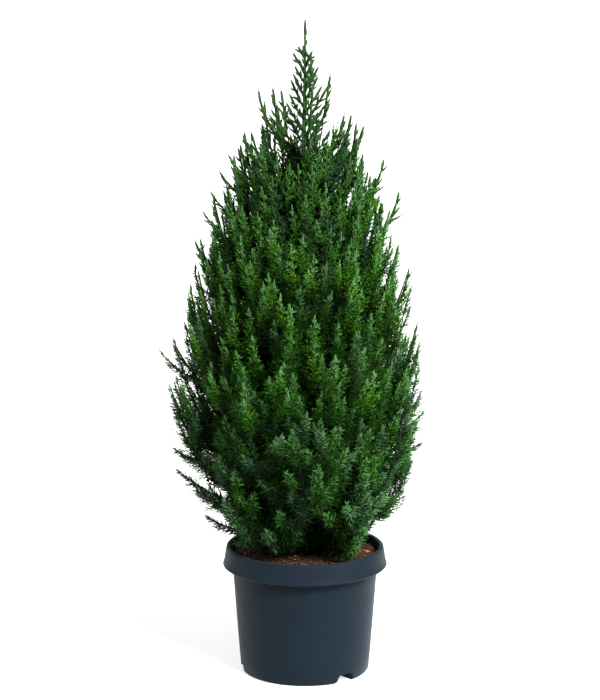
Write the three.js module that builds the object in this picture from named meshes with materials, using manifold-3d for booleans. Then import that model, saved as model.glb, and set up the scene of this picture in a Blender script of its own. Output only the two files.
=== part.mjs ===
// A young upright Chinese juniper in a plastic nursery pot, in millimetres, +Z up.
// The origin is the middle of the pot's flat underside. The front of the plant faces -Y.
import * as THREE from "three";
import { mergeVertices } from "three/addons/utils/BufferGeometryUtils.js";
import Module from "manifold-3d";

const wasm = await Module();
wasm.setup();

// Pot
const POT_HEIGHT = 148;
const LIP_RADIUS = 91;
const LIP_WIDTH = 4.5;
const LIP_ROUND = 1.6;
const BAND_RADIUS = 95;
const BAND_DEPTH = 26;
const BAND_TUCK = 4;
const WALL_TOP_RADIUS = 83.8;
const WALL_FOOT_RADIUS = 74.5;
const WALL = 2.4;
const FLOOR = 3;
const FOOT_ROUND = 2.5;
const POT_SEGMENTS = 32;

// Drain channels under the pot: they notch the wall's foot and run inwards under the floor
const CHANNEL_COUNT = 3;
const CHANNEL_FIRST_DEG = 39;
const CHANNEL_WIDTH = 22;
const CHANNEL_HEIGHT = 10;
const CHANNEL_SLOPE = 4;
const CHANNEL_LENGTH = 36;

// Soil
const SOIL_TOP = 140;
const SOIL_FALL = 3;
const GAP = 0.3;

// Trunk: its foot stands on the soil, and the leader shoot carries on from its tip
const PLANT_HEIGHT = 610;
const TRUNK_SHARE = 0.7;
const TRUNK_RADIUS = 7.5;
const TRUNK_TIP_RADIUS = 1.5;
const TRUNK_TAPER_POWER = 0.8;
const FLARE = 5.5;
const FLARE_HEIGHT = 14;
const TRUNK_SWAY = 6;
const SWAY_TURN = 3;
const TRUNK_SIDES = 8;
const TRUNK_RINGS = 12;

// Crown outline: radius over height, widest a third of the way up
const CROWN_RADIUS = 148;
const WIDEST_AT = 0.34;
const UNDERSIDE_SPAN = 0.375;
const TAPER_POWER = 1.6;
const CROWN_SHIFT = -6;

// Limbs: each leaves the trunk, bends upwards and ends at the crown's outline
const LIMB_COUNT = 27;
const LOWEST_TIP = 0.062;
const HIGHEST_TIP = 0.91;
const TIP_CROWDING = 0.9;
const GOLDEN_DEG = 137.508;
const GOLDEN_SHARE = 0.618;
const FIRST_LIMB_DEG = 310;
const LIMB_FOOT_RISE = 0.03;
const LIMB_FOOT_SHARE = 0.5;
const LIMB_FOOT_POWER = 1.5;
const BEND_OUT = 0.66;
const BEND_UP = 0.3;
const BOUGH_SHARE = 0.24;
const BOUGH_RADIUS = 3.2;
const BOUGH_TIP_RADIUS = 1.9;
const BOUGH_SIDES = 5;
const BOUGH_RINGS = 2;

// Foliage: one stem to a mass, with a dense core that twigs and toothed sprays stand out of.
// Cores and sprays grow slimmer and more upright from the foot of the crown to its top.
const STEM_RADIUS = 1.8;
const STEM_TIP_RADIUS = 0.7;
const STEM_SIDES = 3;
const STEM_RINGS = 3;
const CORE_RADIUS = 64;
const CORE_FROM = 0.03;
const CORE_TO = 0.84;
const CORE_INSET = 12;
const CORE_LOW_SHARE = 0.8;
const CORE_HIGH_SHARE = 0.36;
const CORE_FOOT_BLUNTNESS = 0.25;
const CORE_TIP_BLUNTNESS = 0.08;
const CORE_ROUNDNESS = 0.7;
const CORE_SIDES = 6;
const CORE_RINGS = 2;
const CORE_STEP = 2;
const FEWEST_TWIGS = 2;
const TWIG_SPACING = 38;
const TWIG_FROM = 0.06;
const TWIG_TO = 0.82;
const TWIG_SCATTER = 0.3;
const TWIG_ANGLE_DEG = 58;
const TWIG_FAN_DEG = 110;
const TWIG_SPIN_SCATTER_DEG = 17;
const TWIG_RADIUS = 1.4;
const TWIG_TIP_RADIUS = 0.9;
const TWIG_SHARE = 0.8;
const SPRAY_LENGTH = 130;
const SPRAY_LOW_WIDTH = 50;
const SPRAY_HIGH_WIDTH = 20;
const SPRAY_WINGS = 3;
const SPRAY_RIB = 1.8;
const SPRAY_ROOT = 14;
const LOW_NOTCH_AT = 0.38;
const LOW_TOOTH_AT = 0.5;
const HIGH_NOTCH_AT = 0.7;
const HIGH_TOOTH_AT = 0.82;
const HIGH_TOOTH_SHARE = 0.67;
const SPRAY_RISE = 0.8;
const SPRAY_LOW_LEAN_DEG = 14;
const SPRAY_HIGH_LEAN_DEG = 7;
const SHORTEST_SPRAY = 0.45;
const SPRAY_SIZE_STEP = 0.08;
const SPACE_MARGIN = 1;
const CORE_MARGIN = 1.8;
const LIMB_MARGIN = 1;
const SPILL = 12;
const POT_MARGIN = 3;
const STEM_STEPS = 12;
const BOUGH_STEPS = 30;
const TRUNK_STEPS = 120;
const SEED = 41;
const SEED_STEP = 101;

const UP = new THREE.Vector3(0, 0, 1);
const radians = THREE.MathUtils.degToRad;

// A repeatable run of numbers from 0 to 1
class Dice {
  constructor(seed) {
    this.state = seed >>> 0;
  }

  next() {
    this.state = (Math.imul(1664525, this.state) + 1013904223) >>> 0;
    return this.state / 4294967296;
  }

  between(low, high) {
    return low + (high - low) * this.next();
  }
}

// A size that goes from one value at the plant's foot to another at its top
function byHeight(point, low, high) {
  return THREE.MathUtils.lerp(low, high, (point.z - trunkFoot) / PLANT_HEIGHT);
}

// Solids

function solidOf(geometry) {
  const bare = geometry.clone();
  bare.deleteAttribute("normal");
  bare.deleteAttribute("uv");
  const merged = mergeVertices(bare, 1e-4);
  const corners = merged.index.array;
  const kept = [];
  for (let i = 0; i < corners.length; i += 3) {
    const [a, b, c] = corners.slice(i, i + 3);
    if (a !== b && b !== c && c !== a) kept.push(a, b, c);
  }
  const vertProperties = merged.attributes.position.array;
  const triVerts = new Uint32Array(kept);
  return new wasm.Manifold(new wasm.Mesh({ numProp: 3, vertProperties, triVerts }));
}

function geometryOf(solid) {
  const mesh = solid.getMesh();
  const geometry = new THREE.BufferGeometry();
  geometry.setAttribute("position", new THREE.BufferAttribute(mesh.vertProperties, 3));
  geometry.setIndex(new THREE.BufferAttribute(mesh.triVerts, 1));
  geometry.computeVertexNormals();
  return geometry;
}

function largestBody(solid) {
  const bodies = solid.decompose();
  return bodies.reduce((best, body) => (body.volume() > best.volume() ? body : best));
}

function joined(solids) {
  return solids.reduce((whole, solid) => whole.add(solid));
}

// A closed limb along a path: pointAt takes a share from 0 at its foot to 1 at its tip,
// and radiusAt also takes the direction from the path towards the skin
function limbGeometry(pointAt, radiusAt, sides, rings) {
  const geometry = new THREE.CylinderGeometry(1, 1, 1, sides, rings);
  const position = geometry.attributes.position;
  const step = 0.01;
  for (let i = 0; i < position.count; i++) {
    const [x, y, z] = [position.getX(i), position.getY(i), position.getZ(i)];
    const share = y + 0.5;
    const ahead = pointAt(Math.min(share + step, 1));
    const tangent = ahead.sub(pointAt(Math.max(share - step, 0))).normalize();
    const across = new THREE.Vector3(tangent.z, 0, -tangent.x).normalize();
    const third = across.clone().cross(tangent);
    const spoke = Math.round((Math.atan2(x, z) / (2 * Math.PI) + 1) * sides) % sides;
    const turn = (2 * Math.PI * spoke) / sides;
    const outward = across.multiplyScalar(Math.sin(turn)).addScaledVector(third, Math.cos(turn));
    const onSkin = Math.hypot(x, z) > 0.5;
    const place = pointAt(share).addScaledVector(outward, onSkin ? radiusAt(share, outward) : 0);
    position.setXYZ(i, place.x, place.y, place.z);
  }
  return geometry;
}

function latheGeometry(profile) {
  const points = profile.map(([radius, height]) => new THREE.Vector2(radius, height));
  return new THREE.LatheGeometry(points, POT_SEGMENTS).rotateX(Math.PI / 2);
}

// Pot and soil

const bandFoot = POT_HEIGHT - BAND_DEPTH;
const bandWidest = bandFoot + BAND_TUCK;
const innerLip = LIP_RADIUS - LIP_WIDTH;

function wallRadius(height) {
  return THREE.MathUtils.lerp(WALL_FOOT_RADIUS, WALL_TOP_RADIUS, height / bandFoot);
}

function potOutside() {
  return solidOf(latheGeometry([
    [0, 0],
    [WALL_FOOT_RADIUS - FOOT_ROUND, 0],
    [wallRadius(FOOT_ROUND), FOOT_ROUND],
    [WALL_TOP_RADIUS, bandFoot],
    [BAND_RADIUS - 2 * LIP_ROUND, bandWidest - LIP_ROUND],
    [BAND_RADIUS, bandWidest + LIP_ROUND],
    [(BAND_RADIUS + LIP_RADIUS) / 2 - LIP_ROUND / 2, (bandWidest + POT_HEIGHT) / 2],
    [LIP_RADIUS, POT_HEIGHT - LIP_ROUND],
    [LIP_RADIUS - LIP_ROUND, POT_HEIGHT],
    [0, POT_HEIGHT],
  ]));
}

// The space inside the pot up to a height, taken in by a clearance all round
function potInside(top, fall, clearance) {
  const stepFoot = bandFoot + WALL + clearance;
  return solidOf(latheGeometry([
    [0, FLOOR + clearance],
    [WALL_FOOT_RADIUS - WALL - clearance, FLOOR + clearance],
    [wallRadius(stepFoot) - WALL - clearance, stepFoot],
    [innerLip - clearance, stepFoot + BAND_TUCK],
    [innerLip - clearance, top - fall],
    [TRUNK_RADIUS * 4, top],
    [0, top],
  ]));
}

// A drain channel, or with a clearance the raised floor over it
function channel(index, clearance) {
  const half = CHANNEL_WIDTH / 2 + clearance;
  const top = CHANNEL_HEIGHT + clearance;
  const outline = new THREE.Shape();
  outline.moveTo(-half, -FLOOR);
  outline.lineTo(half, -FLOOR);
  outline.lineTo(half, top - 2 * CHANNEL_SLOPE);
  outline.lineTo(half - CHANNEL_SLOPE, top);
  outline.lineTo(CHANNEL_SLOPE - half, top);
  outline.lineTo(-half, top - 2 * CHANNEL_SLOPE);
  outline.closePath();
  const inner = WALL_FOOT_RADIUS - CHANNEL_LENGTH - clearance;
  const depth = BAND_RADIUS - inner;
  const geometry = new THREE.ExtrudeGeometry(outline, { depth, bevelEnabled: false });
  const turn = radians(CHANNEL_FIRST_DEG + (360 / CHANNEL_COUNT) * index);
  geometry.rotateX(Math.PI / 2).translate(0, -inner, 0).rotateZ(turn);
  return solidOf(geometry);
}

const channelIndices = [...Array(CHANNEL_COUNT).keys()];

function potSolid() {
  const raisedFloor = joined(channelIndices.map((index) => channel(index, FLOOR)));
  const channels = joined(channelIndices.map((index) => channel(index, 0)));
  const hollow = potInside(POT_HEIGHT + FLOOR, 0, 0).subtract(raisedFloor);
  return potOutside().subtract(hollow).subtract(channels);
}

function soilSolid() {
  const raisedFloor = joined(channelIndices.map((index) => channel(index, FLOOR + GAP)));
  return potInside(SOIL_TOP, SOIL_FALL, GAP).subtract(raisedFloor);
}

// Trunk, limbs and crown outline

const trunkFoot = SOIL_TOP + GAP;

function heightAt(share) {
  return trunkFoot + PLANT_HEIGHT * share;
}

// The plant's axis: a slight sway that comes back to the middle at the tip
function axisAt(share) {
  const sway = TRUNK_SWAY * Math.pow(Math.sin(Math.PI * share), 2);
  return new THREE.Vector3(-sway, (sway / 2) * Math.cos(SWAY_TURN * share), heightAt(share));
}

function trunkRadius(share) {
  const tapered = Math.pow(share / TRUNK_SHARE, TRUNK_TAPER_POWER);
  const bare = THREE.MathUtils.lerp(TRUNK_RADIUS, TRUNK_TIP_RADIUS, tapered);
  return bare + FLARE * Math.exp(-(share * PLANT_HEIGHT) / FLARE_HEIGHT);
}

function crownRadius(share) {
  if (share < WIDEST_AT) {
    const below = Math.min((WIDEST_AT - share) / UNDERSIDE_SPAN, 1);
    return CROWN_RADIUS * Math.sqrt(1 - below * below);
  }
  const above = Math.min((share - WIDEST_AT) / (1 - WIDEST_AT), 1);
  return CROWN_RADIUS * (1 - Math.pow(above, TAPER_POWER));
}

function crownCentre(share) {
  return CROWN_SHIFT * Math.sin(Math.PI * share);
}

const trunkPath = (share) => axisAt(share * TRUNK_SHARE);
const trunkThickness = (share) => trunkRadius(share * TRUNK_SHARE);

function trunkGeometry(extra) {
  return limbGeometry(trunkPath, (share) => trunkThickness(share) + extra, TRUNK_SIDES, TRUNK_RINGS);
}

function limbOutward(index) {
  const turn = radians(FIRST_LIMB_DEG + GOLDEN_DEG * index);
  return new THREE.Vector3(Math.cos(turn), Math.sin(turn), 0);
}

// Limb number index, from the lowest up, as a curve from the trunk's axis to the crown's outline
function limbCurve(index) {
  const rank = (index + 0.5) / LIMB_COUNT;
  const spread = 1 - Math.pow(1 - rank, TIP_CROWDING);
  const tipShare = THREE.MathUtils.lerp(LOWEST_TIP, HIGHEST_TIP, spread);
  const footShare = LIMB_FOOT_RISE + LIMB_FOOT_SHARE * Math.pow(tipShare, LIMB_FOOT_POWER);
  const outward = limbOutward(index);
  const foot = axisAt(footShare);
  const reach = crownRadius(tipShare);
  const tip = outward.clone().multiplyScalar(reach);
  tip.x += crownCentre(tipShare);
  tip.z = heightAt(tipShare);
  const bend = foot.clone().addScaledVector(outward, reach * BEND_OUT);
  bend.z = THREE.MathUtils.lerp(foot.z, tip.z, BEND_UP);
  return new THREE.QuadraticBezierCurve3(foot, bend, tip);
}

function stretch(curve, from, to) {
  return (share) => curve.getPoint(THREE.MathUtils.lerp(from, to, share));
}

const limbCurves = [...Array(LIMB_COUNT).keys()].map(limbCurve);

function taper(foot, tip) {
  return (share) => THREE.MathUtils.lerp(foot, tip, share);
}

const boughRadius = taper(BOUGH_RADIUS, BOUGH_TIP_RADIUS);

function boughGeometry(curve, extra) {
  const radiusAt = (share) => boughRadius(share) + extra;
  return limbGeometry(stretch(curve, 0, BOUGH_SHARE), radiusAt, BOUGH_SIDES, BOUGH_RINGS);
}

function boughSolid(index, clearedTrunk) {
  return largestBody(solidOf(boughGeometry(limbCurves[index], 0)).subtract(clearedTrunk));
}

function clearedBough(curve) {
  return solidOf(boughGeometry(curve, LIMB_MARGIN));
}

// Foliage stems: the outer stretch of each limb, and last the leader above the trunk's tip

function stemPath(index) {
  if (index === LIMB_COUNT) {
    const start = TRUNK_SHARE + GAP / PLANT_HEIGHT;
    return (share) => axisAt(THREE.MathUtils.lerp(start, 1, share));
  }
  const curve = limbCurves[index];
  const start = BOUGH_SHARE + GAP / curve.getLength();
  return stretch(curve, start, 1);
}

function sharesOf(steps) {
  return [...Array(steps + 1).keys()].map((i) => i / steps);
}

function limbPoints(path, radiusAt, steps) {
  return sharesOf(steps).map((share) => ({ point: path(share), radius: radiusAt(share) }));
}

const stemPaths = [...Array(LIMB_COUNT + 1).keys()].map(stemPath);
const stemPoints = stemPaths.map((path) => sharesOf(STEM_STEPS).map(path));
const bareLimbs = [
  ...limbPoints(trunkPath, trunkThickness, TRUNK_STEPS),
  ...limbCurves.flatMap((curve) => limbPoints(stretch(curve, 0, BOUGH_SHARE), boughRadius, BOUGH_STEPS)),
];

function stemLength(index) {
  const points = stemPoints[index];
  return points.slice(1).reduce((length, point, i) => length + point.distanceTo(points[i]), 0);
}

function distanceToStem(point, index) {
  const points = stemPoints[index];
  const line = new THREE.Line3();
  const nearest = new THREE.Vector3();
  let best = Infinity;
  for (let i = 0; i < points.length - 1; i++) {
    line.set(points[i], points[i + 1]).closestPointToPoint(point, true, nearest);
    best = Math.min(best, nearest.distanceTo(point));
  }
  return best;
}

function distanceToOtherStems(point, index) {
  let best = Infinity;
  stemPoints.forEach((_, other) => {
    if (other !== index) best = Math.min(best, distanceToStem(point, other));
  });
  return best;
}

function clearanceToLimbs(point) {
  return Math.min(...bareLimbs.map((limb) => limb.point.distanceTo(point) - limb.radius));
}

// A mass keeps to the space that is nearer to its own stem than to any other by a margin,
// that lies above the pot, and that lies within the crown's outline by an inset
function inOwnSpace(point, index, margin, inset) {
  const share = (point.z - trunkFoot) / PLANT_HEIGHT;
  const fromCentre = Math.hypot(point.x - crownCentre(share), point.y);
  if (fromCentre > crownRadius(share) + SPILL - inset) return false;
  const overRim = fromCentre > innerLip - 2 * LIP_WIDTH;
  if (point.z < (overRim ? POT_HEIGHT : SOIL_TOP) + POT_MARGIN) return false;
  return distanceToStem(point, index) + 2 * margin < distanceToOtherStems(point, index);
}

function segmentClearOfLimbs(from, to, halfWidth) {
  const line = new THREE.Line3(from, to);
  const nearest = new THREE.Vector3();
  return bareLimbs.every((limb) => {
    line.closestPointToPoint(limb.point, true, nearest);
    return nearest.distanceTo(limb.point) > limb.radius + halfWidth + LIMB_MARGIN;
  });
}

// A spray: three thin wings round a rib, each with two teeth that point forwards like side shoots.
// It stands on its root along +Z.
function sprayGeometry(length, width) {
  const half = width / 2;
  const wing = [
    [half, LOW_TOOTH_AT * length],
    [SPRAY_RIB, LOW_NOTCH_AT * length],
    [half * HIGH_TOOTH_SHARE, HIGH_TOOTH_AT * length],
    [SPRAY_RIB, HIGH_NOTCH_AT * length],
  ];
  const valley = [SPRAY_RIB, LOW_TOOTH_AT * length];
  const places = [0, 0, 0, 0, 0, length];
  const wedge = (2 * Math.PI) / SPRAY_WINGS;
  const add = ([out, up], angle) => places.push(out * Math.cos(angle), out * Math.sin(angle), up);
  for (let i = 0; i < SPRAY_WINGS; i++) {
    wing.forEach((point) => add(point, i * wedge));
    add(valley, (i + 0.5) * wedge);
  }
  const [root, tip, perWing] = [0, 1, wing.length + 1];
  const faces = [];
  for (let i = 0; i < SPRAY_WINGS; i++) {
    const first = 2 + i * perWing;
    const nextValley = first + wing.length;
    const lastValley = 2 + ((i + SPRAY_WINGS - 1) % SPRAY_WINGS) * perWing + wing.length;
    const edge = [root, ...wing.map((_, k) => first + k), tip];
    for (let k = 0; k < edge.length - 1; k++) {
      faces.push(edge[k + 1], edge[k], nextValley);
      faces.push(edge[k], edge[k + 1], lastValley);
    }
  }
  const geometry = new THREE.BufferGeometry();
  geometry.setAttribute("position", new THREE.Float32BufferAttribute(places, 3));
  geometry.setIndex(faces);
  return geometry;
}

// One mass of foliage as its stem, core, twigs and sprays

// How far a mass's core can reach from a point on its stem in one direction
function roomFor(index, from, direction) {
  let room = STEM_RADIUS;
  for (let reach = CORE_STEP; reach <= CORE_RADIUS; reach += CORE_STEP) {
    const point = from.clone().addScaledVector(direction, reach);
    if (!inOwnSpace(point, index, CORE_MARGIN, CORE_INSET)) break;
    if (clearanceToLimbs(point) < CORE_MARGIN) break;
    room = reach;
  }
  return room;
}

function coreGeometry(index) {
  const path = (share) => stemPaths[index](THREE.MathUtils.lerp(CORE_FROM, CORE_TO, share));
  const radiusAt = (share, direction) => {
    const point = path(share);
    const along = THREE.MathUtils.lerp(CORE_FOOT_BLUNTNESS, 1 - CORE_TIP_BLUNTNESS, share);
    const rounded = Math.pow(Math.sin(Math.PI * along), CORE_ROUNDNESS);
    const fullness = byHeight(point, CORE_LOW_SHARE, CORE_HIGH_SHARE) * rounded;
    return Math.max(roomFor(index, point, direction) * fullness, STEM_RADIUS);
  };
  return limbGeometry(path, radiusAt, CORE_SIDES, CORE_RINGS);
}

function placedSpray(root, direction, length, width, spin) {
  const turn = new THREE.Quaternion().setFromUnitVectors(UP, direction);
  const geometry = sprayGeometry(length, width).rotateZ(spin).applyQuaternion(turn);
  return geometry.translate(root.x, root.y, root.z);
}

function cornersOf(geometry) {
  const position = geometry.attributes.position;
  return [...Array(position.count).keys()].map((i) => new THREE.Vector3().fromBufferAttribute(position, i));
}

// The largest spray that stays in its mass's space, or null: rootFor gives a spray's root by its length
function fittedSpray(index, rootFor, direction, spin) {
  for (let size = 1; size >= SHORTEST_SPRAY; size -= SPRAY_SIZE_STEP) {
    const length = SPRAY_LENGTH * size;
    const root = rootFor(length);
    const tip = root.clone().addScaledVector(direction, length);
    const width = byHeight(root, SPRAY_LOW_WIDTH, SPRAY_HIGH_WIDTH) * size;
    const geometry = placedSpray(root, direction, length, width, spin);
    const corners = cornersOf(geometry).slice(1);
    const middles = corners.map((corner) => corner.clone().lerp(root, 0.5));
    const inside = [...corners, ...middles].every((place) => inOwnSpace(place, index, SPACE_MARGIN, 0));
    if (inside && segmentClearOfLimbs(root, tip, width / 2)) return geometry;
  }
  return null;
}

// A direction that leaves a tangent by an angle, turned about it from the outward side
function leaning(tangent, outward, spin, angle) {
  const side = outward.clone().addScaledVector(tangent, -outward.dot(tangent)).normalize();
  side.applyAxisAngle(tangent, spin);
  return tangent.clone().multiplyScalar(Math.cos(angle)).addScaledVector(side, Math.sin(angle));
}

function tangentOn(path, share) {
  const step = 0.02;
  return path(Math.min(share + step, 1)).sub(path(share - step)).normalize();
}

function foliageSolid(index, clearedLimbs) {
  const dice = new Dice(SEED + SEED_STEP * index);
  const path = stemPaths[index];
  const fan = index === LIMB_COUNT ? Math.PI : radians(TWIG_FAN_DEG);
  const spinScatter = radians(TWIG_SPIN_SCATTER_DEG);
  const outward = limbOutward(index);
  const stemRadius = taper(STEM_RADIUS, STEM_TIP_RADIUS);
  const pieces = [solidOf(limbGeometry(path, stemRadius, STEM_SIDES, STEM_RINGS))];
  pieces.push(largestBody(solidOf(coreGeometry(index)).subtract(clearedLimbs)));
  const addSpray = (rootFor, direction) => {
    const geometry = fittedSpray(index, rootFor, direction, dice.between(0, Math.PI));
    if (geometry) pieces.push(solidOf(geometry));
    return geometry !== null;
  };
  const stemEnd = path(1);
  const endDirection = tangentOn(path, 1);
  addSpray((length) => stemEnd.clone().addScaledVector(endDirection, -length), endDirection);
  const twigCount = FEWEST_TWIGS + Math.round(stemLength(index) / TWIG_SPACING);
  for (let i = 0; i < twigCount; i++) {
    const rank = (i + 0.5 + dice.between(-TWIG_SCATTER, TWIG_SCATTER)) / twigCount;
    const share = THREE.MathUtils.lerp(TWIG_FROM, TWIG_TO, rank);
    const foot = path(share);
    const tangent = tangentOn(path, share);
    const side = 2 * (((i + 0.5) * GOLDEN_SHARE) % 1) - 1;
    const spin = fan * side + dice.between(-spinScatter, spinScatter);
    const direction = leaning(tangent, outward, spin, radians(TWIG_ANGLE_DEG));
    const tip = foot.clone().addScaledVector(direction, roomFor(index, foot, direction) * TWIG_SHARE);
    const lean = radians(byHeight(foot, SPRAY_LOW_LEAN_DEG, SPRAY_HIGH_LEAN_DEG));
    const rising = tangent.clone().lerp(UP, SPRAY_RISE).normalize();
    const ahead = leaning(rising, outward, spin, lean);
    const root = tip.clone().addScaledVector(ahead, -SPRAY_ROOT);
    if (!addSpray(() => root, ahead)) continue;
    const twigRadius = taper(TWIG_RADIUS, TWIG_TIP_RADIUS);
    pieces.push(solidOf(limbGeometry((s) => foot.clone().lerp(tip, s), twigRadius, STEM_SIDES, 1)));
  }
  return largestBody(joined(pieces));
}

// Finishes

function finish(colour, roughness) {
  return new THREE.MeshStandardMaterial({ color: colour, roughness, metalness: 0 });
}

const potPlastic = finish(0x2f3c45, 0.5);
const pottingSoil = finish(0x3a281a, 1);
const bark = finish(0x5a4030, 0.9);
const needleGreen = finish(0x2c5a22, 0.65);

// The whole plant

const juniper = new THREE.Group();
juniper.name = "potted_juniper";

function addPart(name, geometry, material) {
  const mesh = new THREE.Mesh(geometry, material);
  mesh.name = name;
  juniper.add(mesh);
}

function numbered(name, index) {
  return name + "_" + String(index + 1).padStart(2, "0");
}

addPart("pot", geometryOf(potSolid()), potPlastic);
addPart("soil", geometryOf(soilSolid()), pottingSoil);
addPart("trunk", geometryOf(solidOf(trunkGeometry(0))), bark);
const clearedTrunk = solidOf(trunkGeometry(GAP));
const boughs = limbCurves.map((_, index) => boughSolid(index, clearedTrunk));
boughs.forEach((bough, index) => addPart(numbered("bough", index), geometryOf(bough), bark));
const clearedLimbs = joined([solidOf(trunkGeometry(LIMB_MARGIN)), ...limbCurves.map(clearedBough)]);
for (let index = 0; index < LIMB_COUNT; index++) {
  addPart(numbered("foliage", index), geometryOf(foliageSolid(index, clearedLimbs)), needleGreen);
}
addPart("foliage_leader", geometryOf(foliageSolid(LIMB_COUNT, clearedLimbs)), needleGreen);

export default juniper;
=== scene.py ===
"""A young upright Chinese juniper in a plastic nursery pot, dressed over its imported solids.

The growth rule works in millimetres with the sizes of the part's source, +Z up, the front
towards -Y. Meshes are made in metres.
"""

import math

import bpy
import numpy as np
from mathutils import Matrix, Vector


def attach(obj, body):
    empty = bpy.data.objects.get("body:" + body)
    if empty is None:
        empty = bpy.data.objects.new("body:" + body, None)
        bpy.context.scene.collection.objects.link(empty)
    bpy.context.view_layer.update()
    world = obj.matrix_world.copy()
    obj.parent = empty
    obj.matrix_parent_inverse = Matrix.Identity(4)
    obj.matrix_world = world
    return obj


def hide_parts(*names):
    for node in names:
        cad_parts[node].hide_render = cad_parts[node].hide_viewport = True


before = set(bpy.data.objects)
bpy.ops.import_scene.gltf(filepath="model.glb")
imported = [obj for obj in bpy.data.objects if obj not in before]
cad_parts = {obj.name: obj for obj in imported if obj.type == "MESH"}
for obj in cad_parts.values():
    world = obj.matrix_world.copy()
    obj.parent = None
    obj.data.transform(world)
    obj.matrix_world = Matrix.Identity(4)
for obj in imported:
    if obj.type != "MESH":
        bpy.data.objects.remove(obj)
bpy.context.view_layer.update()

MM = 0.001
TINY = 1e-9
MOSTLY = 0.8
UPRIGHT = np.array([0, 0, 1.0])
FULL_TURN = 2 * math.pi
GOLDEN_TURN = math.radians(137.508)
LARGEST_PIECE = 180000
ANGLE_SCATTER_DEG = 5

# Studio: the camera stands as the photo's did. A light has a place, a power and a softness in degrees
WHITE = (1, 1, 1, 1)
CAMERA_PLACE = (-0.0057, -2.6, 0.869)
CAMERA_PITCH_DEG = 10.72
CAMERA_LENS = 119.3
SENSOR_WIDTH = 36
VIEW_DEPTH = 200
WORLD_LIGHT = 0.25
LIGHTS = {
    "front_light": ((1.6, -2.05, 2.25), 4.9, 19),
    "low_light": ((2.3, -1.4, 0.5), 0.9, 35),
    "left_light": ((-1.4, -1.5, 2.4), 0.55, 50),
    "back_light": ((-0.9, 2.0, 1.8), 0.25, 60),
}
FLOOR_SIZE = 120
FLOOR_COLOUR = (0.94, 0.94, 0.94, 1)
FLOOR_GLOW = 0.6

# Pot
POT_HEIGHT = 148
LIP_RADIUS = 91
LIP_WIDTH = 4.5
BAND_RADIUS = 95
BAND_FOOT = 122
BAND_WIDEST = 126
WALL_TOP_RADIUS = 83.8
WALL_FOOT_RADIUS = 74.5
WALL = 2.4
WALL_RINGS = (20, 60)
POT_FLOOR = 14
POT_SIDES = 128
POT_SMOOTH_DEG = 32
# Roundings of the pot's profile, as steps out and up from the corner that each one rounds
FOOT_ROUND = ((-3.2, 0), (-1.2, 0.7), (0, 2.6))
BAND_FOOT_ROUND = ((-0.2, -1.6), (0.2, -0.2), (1.2, 0.8))
BAND_ROUND = ((-3.6, -2.2), (-1.2, -1.4), (-0.3, -0.6), (0, 0.3), (-0.3, 1.3), (-1.5, 5), (-2.5, 12))
LIP_ROUND = ((0.3, -3.2), (-0.2, -1.2), (-1.3, -0.2), (-2.4, 0))
INNER_LIP_ROUND = ((1.2, -0.3), (0.2, -1.4), (0, -4))
CHANNEL_COUNT = 3
CHANNEL_FIRST_DEG = 39
CHANNEL_WIDTH = 22
CHANNEL_HEIGHT = 10
CHANNEL_LENGTH = 36
CHANNEL_ROUND = 5
CHANNEL_ROUND_STEPS = 8
# A channel flares to one side from its straight stretch down to the ground: height and width
CHANNEL_FLARE = ((4.6, 22), (2.8, 22.8), (1.5, 24.2), (0.6, 26.4), (0, 30), (-4, 30))

# Soil and bark chips
SOIL_TOP = 140
SOIL_FALL = 3
SOIL_RADIUS = 86
SOIL_GAP = 0.4
# Rings of the soil's top: the first and the last as shares of its radius, and how many
SOIL_RINGS = (0.97, 0.03, 46)
CRUMB = 0.75
SWELL = 0.9
SWELL_WAVES = (130, 110)
CHIP_COUNT = 900
CHIP_MARGIN = 4
CHIP_SPREAD = (0.02, 1)
CHIP_LIFT = (-0.3, 1.8)
CHIP_LENGTH = (4, 15)
CHIP_WIDTH = (1.2, 4.2)
CHIP_THICKNESS = (0.6, 1.6)
CHIP_CORNER = (0.45, 1.0)
CHIP_TILT = 0.22
CHIP_TWIST = 0.2
TAN_CHIP_SIZE = 1.35
# Chances of a tan chip, and of a tan or a rust one: on the shaded side, and what the lit side adds as
# painted light
TAN_CHANCE = (0.03, 0.03)
TAN_OR_RUST_CHANCE = (0.18, 0.3)
CHIP_KINDS = ("rust", "tan", "dark")
RUST, TAN, DARK = range(len(CHIP_KINDS))
CHIP_COLOURS = (
    ((70, 40, 24), (128, 76, 44)),
    ((168, 112, 68), (224, 168, 112)),
    ((40, 28, 19), (86, 59, 41)),
)

# Trunk
TRUNK_FOOT = 140.3
PLANT_HEIGHT = 610
TRUNK_SHARE = 0.7
TRUNK_RADII = (7.5, 1.5)
TRUNK_TAPER_POWER = 0.8
FLARE = 5.5
FLARE_HEIGHT = 14
TRUNK_SWAY = 6
SWAY_TURN = 3

# Bark: rings, sides, depth and number of ridges, and the angle up to which it is smooth
TRUNK_BARK = (90, 28, 1.1, 9, 50)
BOUGH_BARK = (14, 12, 0.4, 6, 60)
BARK_COLOURS = ((48, 32, 22), (112, 80, 56))
BARK_STRETCH = 0.25
TWIG_COLOURS = ((13, 10, 6), (34, 22, 13))
TWIG_STRETCH = 0.3
FLAKE = 0.35
STEEPEST_BARK = 0.7

# Crown outline
CROWN_RADIUS = 148
WIDEST_AT = 0.34
UNDERSIDE_SPAN = 0.375
TAPER_POWER = 1.6
CROWN_SHIFT = -6
FORWARD_PULL = 12

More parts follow.
